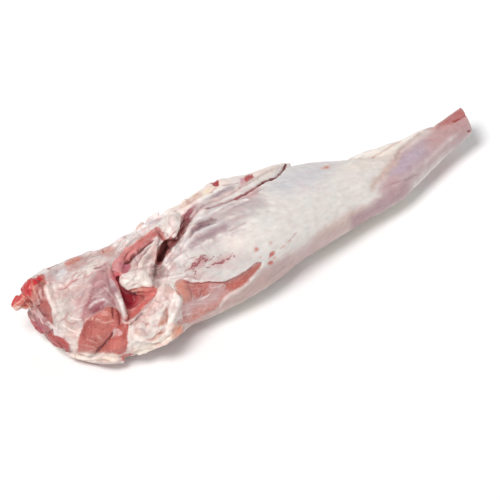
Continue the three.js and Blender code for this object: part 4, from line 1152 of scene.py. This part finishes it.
class Shader:
    """A material's nodes, added one by one and joined by their sockets."""

    def __init__(self, name):
        self.material = bpy.data.materials.new(name)
        self.material.use_nodes = True
        self.nodes = self.material.node_tree.nodes
        self.links = self.material.node_tree.links
        self.surface = self.nodes["Principled BSDF"]

    def join(self, value, socket):
        if isinstance(value, bpy.types.NodeSocket):
            self.links.new(value, socket)
        else:
            socket.default_value = value

    def add(self, kind, inputs, **settings):
        node = self.nodes.new(kind)
        for key, value in settings.items():
            setattr(node, key, value)
        for key, value in inputs.items():
            self.join(value, node.inputs[key])
        return node

    def attribute(self, name, output):
        return self.add("ShaderNodeAttribute", {}, attribute_name=name).outputs[output]

    def place(self, stretch):
        here = self.add("ShaderNodeTexCoord", {}).outputs["Object"]
        return self.add("ShaderNodeMapping", {"Vector": here, "Scale": stretch}).outputs["Vector"]

    def grain(self, place, scale, detail, rough=0.55):
        inputs = {"Vector": place, "Scale": scale, "Detail": detail, "Roughness": rough}
        return self.add("ShaderNodeTexNoise", inputs).outputs["Fac"]

    def math(self, operation, a, b):
        return self.add("ShaderNodeMath", {0: a, 1: b}, operation=operation).outputs[0]

    def spread(self, value, span, to, kind="SMOOTHSTEP"):
        """Spreads the values between two ends over another two."""
        inputs = dict(zip(("From Min", "From Max", "To Min", "To Max"), (*span, *to)), Value=value)
        return self.add("ShaderNodeMapRange", inputs, interpolation_type=kind).outputs["Result"]

    def mix(self, factor, a, b):
        return self.add("ShaderNodeMix", {0: factor, 6: a, 7: b}, data_type="RGBA").outputs[2]

    def bump(self, height, strength, distance, under=None):
        inputs = {"Height": height, "Strength": strength, "Distance": distance}
        if under is not None:
            inputs["Normal"] = under
        return self.add("ShaderNodeBump", inputs).outputs["Normal"]

    def finish(self, **inputs):
        for key, value in inputs.items():
            self.join(value, self.surface.inputs[key.replace("_", " ")])
        return self.material


def paint(red, green, blue):
    return (*colour(red, green, blue), 1)


# Raw meat: film or flesh as the points say, with a ragged edge between them, fibres, and a wet gloss
PINK_THREADS = paint(206, 176, 174)
WHITE_FLECKS = paint(248, 244, 240)
DARK_FIBRES = paint(146, 56, 54)
PALE_FIBRES = paint(230, 176, 162)
DARK_BLOOD = paint(144, 58, 66)
raw = Shader("raw_meat")
even = raw.place((1, 1, 1))
fibres = raw.place((0.35, 1.6, 1.6))
fine_grain = raw.grain(even, scale=420, detail=3)
cloud = raw.grain(even, scale=90, detail=3)
fibre_grain = raw.grain(fibres, scale=480, detail=4, rough=0.6)
film_grain = raw.grain(fibres, scale=150, detail=3)
film = raw.attribute("film_tint", "Color")
film = raw.mix(raw.spread(film_grain, (0.4, 0.7), (0, 0.17)), film, PINK_THREADS)
film = raw.mix(raw.spread(fine_grain, (0.5, 0.75), (0, 0.12)), film, WHITE_FLECKS)
flesh = raw.attribute("flesh_tint", "Color")
flesh = raw.mix(raw.spread(fibre_grain, (0.5, 0.3), (0, 0.4)), flesh, DARK_FIBRES)
flesh = raw.mix(raw.spread(fibre_grain, (0.54, 0.74), (0, 0.3)), flesh, PALE_FIBRES)
ragged = raw.spread(fine_grain, (0.25, 0.75), (-0.24, 0.24), "LINEAR")
shown = raw.spread(raw.math("ADD", raw.attribute("bare", "Fac"), ragged), (0.22, 0.82), (0, 1))
clear = raw.spread(raw.math("ADD", raw.attribute("veil", "Fac"), ragged), (0.05, 1), (1, 0), "LINEAR")
skin = raw.mix(raw.math("MULTIPLY", shown, clear), film, flesh)
stain = raw.spread(raw.math("ADD", raw.attribute("blood", "Fac"), ragged), (0.35, 0.8), (0, 0.8))
skin = raw.mix(stain, skin, DARK_BLOOD)
relief = raw.bump(fine_grain, strength=0.4, distance=0.0006)
relief = raw.bump(fibre_grain, strength=0.25, distance=0.0005, under=relief)
raw_meat = raw.finish(
    Base_Color=skin,
    Roughness=raw.spread(cloud, (0.3, 0.7), (0.36, 0.54)),
    Normal=relief,
    IOR=1.4,
    Subsurface_Weight=0.12,
    Subsurface_Radius=(1.0, 0.4, 0.28),
    Subsurface_Scale=0.002,
    Coat_Weight=0.12,
    Coat_Roughness=0.18,
)
leg_mesh.materials.append(raw_meat)
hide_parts("leg")
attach(leg, "root")


# The hip bone's end: a wing of red, spongy bone with a paler rim where its gristle was cut. It stands out
# of the hip cut, and its root is set in the meat.
BONE_STEP = 0.0006
BONE_INSET = 0.0016
BONE_RELAXED = 5
SAME_PLACE = 0.00001

# Ribs of the spongy bone: radius, and the places that each runs through
BONE_RIBS = [
    (2.6, [(-2, 11, -3), (-10, 11, -3), (-17, 13.5, -3), (-23, 16, -3)]),
    (2.3, [(-24, 17, -2), (-20.5, 21.5, -1), (-17, 23, -1)]),
    (2.8, [(-1, 14, -1), (-9, 15.5, -1), (-16, 17.5, -1), (-22, 18, -2)]),
    (3, [(0, 17, 0), (-8, 19.5, 0), (-15, 21.5, -1)]),
    (4.2, [(2, 17, 1), (-4, 22, 2), (-9, 26, 1)]),
    (4.2, [(3, 17, 2), (0, 24, 3), (-4, 28.5, 2)]),
    (3.8, [(4, 17, 3), (4, 24, 4), (3, 30, 3)]),
    (3, [(6, 18, 3), (8, 25, 4), (8, 30.5, 3)]),
    (2.2, [(8, 15, 3), (11, 21, 3), (11.5, 27, 2)]),
    (1.6, [(-13, 20, 1), (-11, 13, 0), (-10, 9, -2)]),
    (1.6, [(-8, 22, 2.5), (-6, 15, 1), (-5, 9, -1)]),
    (1.5, [(-19, 21, 0), (-16, 15, -0.5), (-14, 10.5, -2)]),
]
bone_shape = node_shape("hip_bone")
bmesh.ops.remove_doubles(bone_shape, verts=bone_shape.verts, dist=SAME_PLACE)
bone_shape.normal_update()
for corner in bone_shape.verts:
    corner.co -= corner.normal * BONE_INSET
for radius, path in BONE_RIBS:
    strand(bone_shape, [from_seen(*place) for place in path], radius * MM)
hip_bone = even_piece("hip_bone_end", bone_shape, BONE_STEP)
bone_mesh = hip_bone.data
bone_points = relax(mesh_rows(bone_mesh.vertices, "co"), get_edges(bone_mesh), BONE_RELAXED)
set_points(bone_mesh, bone_points)
pits = noise(bone_points / MM, size=3.2, seed=41)
crags = noise(bone_points / MM, size=7, seed=42, octaves=3)
bone_lift = 0.6 * crags + 0.6 * np.where(pits < 0, pits, 0.4 * pits)
bone_points = bone_points + mesh_rows(bone_mesh.vertices, "normal") * (bone_lift * MM)[:, None]
set_points(bone_mesh, bone_points)

# Its colours: patches on it, pale streaks down it, paler crags, and blood in the pits
BONE_PINK = (212, 134, 116)
BONE_PATCH_EDGE = 1.2
BONE_PATCHES = [
    ((204, 54, 54), [(-14, 30), (-7, 35), (2, 36), (0, 27), (-3, 21), (-6, 17), (-10, 21)]),
    ((212, 34, 46), [(1, 27), (4, 37), (13, 35), (13, 28), (6, 25)]),
    ((208, 70, 66), [(-28, 15), (-22, 26), (-13, 27), (-12, 18), (-20, 15.5)]),
    ((214, 108, 98), [(-14, 19), (-7, 19), (-4, 11), (-14, 11)]),
    ((196, 130, 122), [(-4, 19), (4, 26), (14, 26), (12, 12), (-3, 9)]),
    ((188, 134, 130), [(-18, 8), (-4, 9), (14, 12), (14, -2), (-18, -2)]),
    ((232, 196, 180), [(-26, 16), (-20, 15), (-13, 10.5), (-6, 9.5), (-8, 5), (-20, 8)]),
]
STREAK_CREAM = (238, 190, 168)
STREAK_HALF_WIDTH = 0.8
BONE_STREAKS = [
    [(-12, 20), (-11, 14), (-10, 9)],
    [(-8, 20), (-6, 14), (-5, 9)],
    [(-1, 22), (0, 16), (0, 10)],
    [(4, 25), (5, 18), (5, 12)],
    [(10, 26), (9, 20), (8, 14)],
    [(-24, 16), (-18, 18), (-13, 19)],
]
CRAG_PINK = (232, 136, 124)
PIT_RED = (140, 26, 34)
bone_flat = as_seen(bone_points)[:, :2] + 0.8 * np.stack([pits, crags], axis=1)
bone_tint = np.tile(colour(*BONE_PINK), (len(bone_points), 1))
for tint, outline in BONE_PATCHES:
    depth = patch_depth(bone_flat, np.array(outline))
    lay(bone_tint, tint, soft_step(depth, -BONE_PATCH_EDGE, BONE_PATCH_EDGE))
for line in BONE_STREAKS:
    away = line_distance(bone_flat, smooth_line(line))[0]
    lay(bone_tint, STREAK_CREAM, 0.7 * np.exp(-(away / STREAK_HALF_WIDTH) ** 2))
lay(bone_tint, CRAG_PINK, 0.25 * soft_step(crags, 0.3, 0.9))
lay(bone_tint, PIT_RED, 0.6 * soft_step(-pits, 0.15, 0.7))
store_tint(bone_mesh, "bone_tint", bone_tint)

PORE_RED = paint(150, 40, 42)
spongy = Shader("spongy_bone")
pores = spongy.grain(spongy.place((1, 1, 1)), scale=620, detail=3)
bone_colour = spongy.attribute("bone_tint", "Color")
spongy_bone = spongy.finish(
    Base_Color=spongy.mix(spongy.spread(pores, (0.4, 0.65), (0.3, 0)), bone_colour, PORE_RED),
    Roughness=spongy.spread(pores, (0.3, 0.7), (0.3, 0.5)),
    Normal=spongy.bump(pores, strength=0.5, distance=0.0006),
    Subsurface_Weight=0.15,
    Subsurface_Radius=(1.0, 0.3, 0.2),
    Subsurface_Scale=0.002,
    Coat_Weight=0.2,
    Coat_Roughness=0.15,
)
bone_mesh.materials.append(spongy_bone)
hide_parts("hip_bone")
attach(hip_bone, "root")


# The shank bone: a hard pale ring of bone round red marrow, at the thin end of the leg. It was sawn through
# with the meat that it sits in, and its sawn face is level with the meat's.
SHANK_STEP = 0.0006
SHANK_RELAXED = 2
RING_RADIUS = 0.0066
MARROW_SHARE = 0.62
MARROW_EDGE = 0.12
MARROW_DEPTH = 0.0009
RING_CREAM = (232, 220, 206)
MARROW_RED = (176, 76, 70)
shank_bone = even_piece("shank_bone_end", node_shape("shank_bone"), SHANK_STEP)
shank_mesh = shank_bone.data
shank_points = relax(mesh_rows(shank_mesh.vertices, "co"), get_edges(shank_mesh), SHANK_RELAXED)
sawn = shank_points[:, 0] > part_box("shank_bone")[1].x - 2 * SHANK_STEP
sawn_middle = (shank_points[sawn].min(0) + shank_points[sawn].max(0)) / 2
sawn_out = np.hypot(*(shank_points - sawn_middle)[:, 1:].T) / RING_RADIUS
ring_wobble = 0.12 * noise(shank_points / MM, size=2.5, seed=51)
marrow = sawn * soft_step(MARROW_SHARE - sawn_out + ring_wobble, 0, MARROW_EDGE)
shank_points[:, 0] -= marrow * MARROW_DEPTH
shank_points = sawn_at_slant(shank_points)
set_points(shank_mesh, shank_points)
shank_tint = np.tile(colour(*RING_CREAM), (len(shank_points), 1))
lay(shank_tint, MARROW_RED, marrow)
store_tint(shank_mesh, "bone_tint", shank_tint)

SAW_MARK_PINK = paint(188, 132, 120)
hard = Shader("sawn_bone")
saw_grain = hard.grain(hard.place((1, 0.4, 2.2)), scale=700, detail=3)
ring_colour = hard.attribute("bone_tint", "Color")
sawn_bone = hard.finish(
    Base_Color=hard.mix(hard.spread(saw_grain, (0.45, 0.7), (0, 0.3)), ring_colour, SAW_MARK_PINK),
    Roughness=hard.spread(saw_grain, (0.3, 0.7), (0.35, 0.55)),
    Normal=hard.bump(saw_grain, strength=0.3, distance=0.0004),
    Subsurface_Weight=0.1,
    Subsurface_Radius=(1.0, 0.5, 0.35),
    Subsurface_Scale=0.002,
)
shank_mesh.materials.append(sawn_bone)
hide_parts("shank_bone")
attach(shank_bone, "root")


# The studio: a plain white floor, with a broad soft light from above and a white room round it. A long lens
# looks down on the shown side.
FLOOR_SIZE = 14
bpy.ops.mesh.primitive_plane_add(size=FLOOR_SIZE)
floor = bpy.context.object
floor.name = "studio_floor"
pale = Shader("studio_white")
floor.data.materials.append(pale.finish(Base_Color=paint(255, 255, 255), Roughness=0.8))

KEY_FROM = Vector((-0.55, -0.24, 1))
KEY_STRENGTH = 2.2
KEY_SPREAD = math.radians(20)
key_data = bpy.data.lights.new("key", "SUN")
key_data.energy = KEY_STRENGTH
key_data.angle = KEY_SPREAD
key = bpy.data.objects.new("key", key_data)
key.rotation_euler = (-KEY_FROM).to_track_quat("-Z", "Y").to_euler()
bpy.context.scene.collection.objects.link(key)

ROOM_STRENGTH = 0.45
world = bpy.data.worlds.new("white_room")
world.use_nodes = True
room = world.node_tree.nodes["Background"]
room.inputs["Color"].default_value = (1, 1, 1, 1)
room.inputs["Strength"].default_value = ROOM_STRENGTH
bpy.context.scene.world = world
bpy.context.scene.view_settings.view_transform = "Standard"

# The frame is 460 mm wide over the leg, and its middle looks at this place on the shown side
LENS = 1600
SENSOR = 36
FRAME_WIDTH = 0.46
FRAME_TURN = math.radians(24.3)
AIM = (195.3, -25.7, -59)
right = math.cos(FRAME_TURN) * seen_along - math.sin(FRAME_TURN) * seen_across
up = math.sin(FRAME_TURN) * seen_along + math.cos(FRAME_TURN) * seen_across
camera_data = bpy.data.cameras.new("camera")
camera_data.lens = LENS
camera_data.sensor_width = SENSOR
camera = bpy.data.objects.new("camera", camera_data)
turn = Matrix((right, up, seen_out)).transposed().to_4x4()
camera.matrix_world = Matrix.Translation(from_seen(*AIM) + seen_out * FRAME_WIDTH * LENS / SENSOR) @ turn
bpy.context.scene.collection.objects.link(camera)
bpy.context.scene.camera = camera
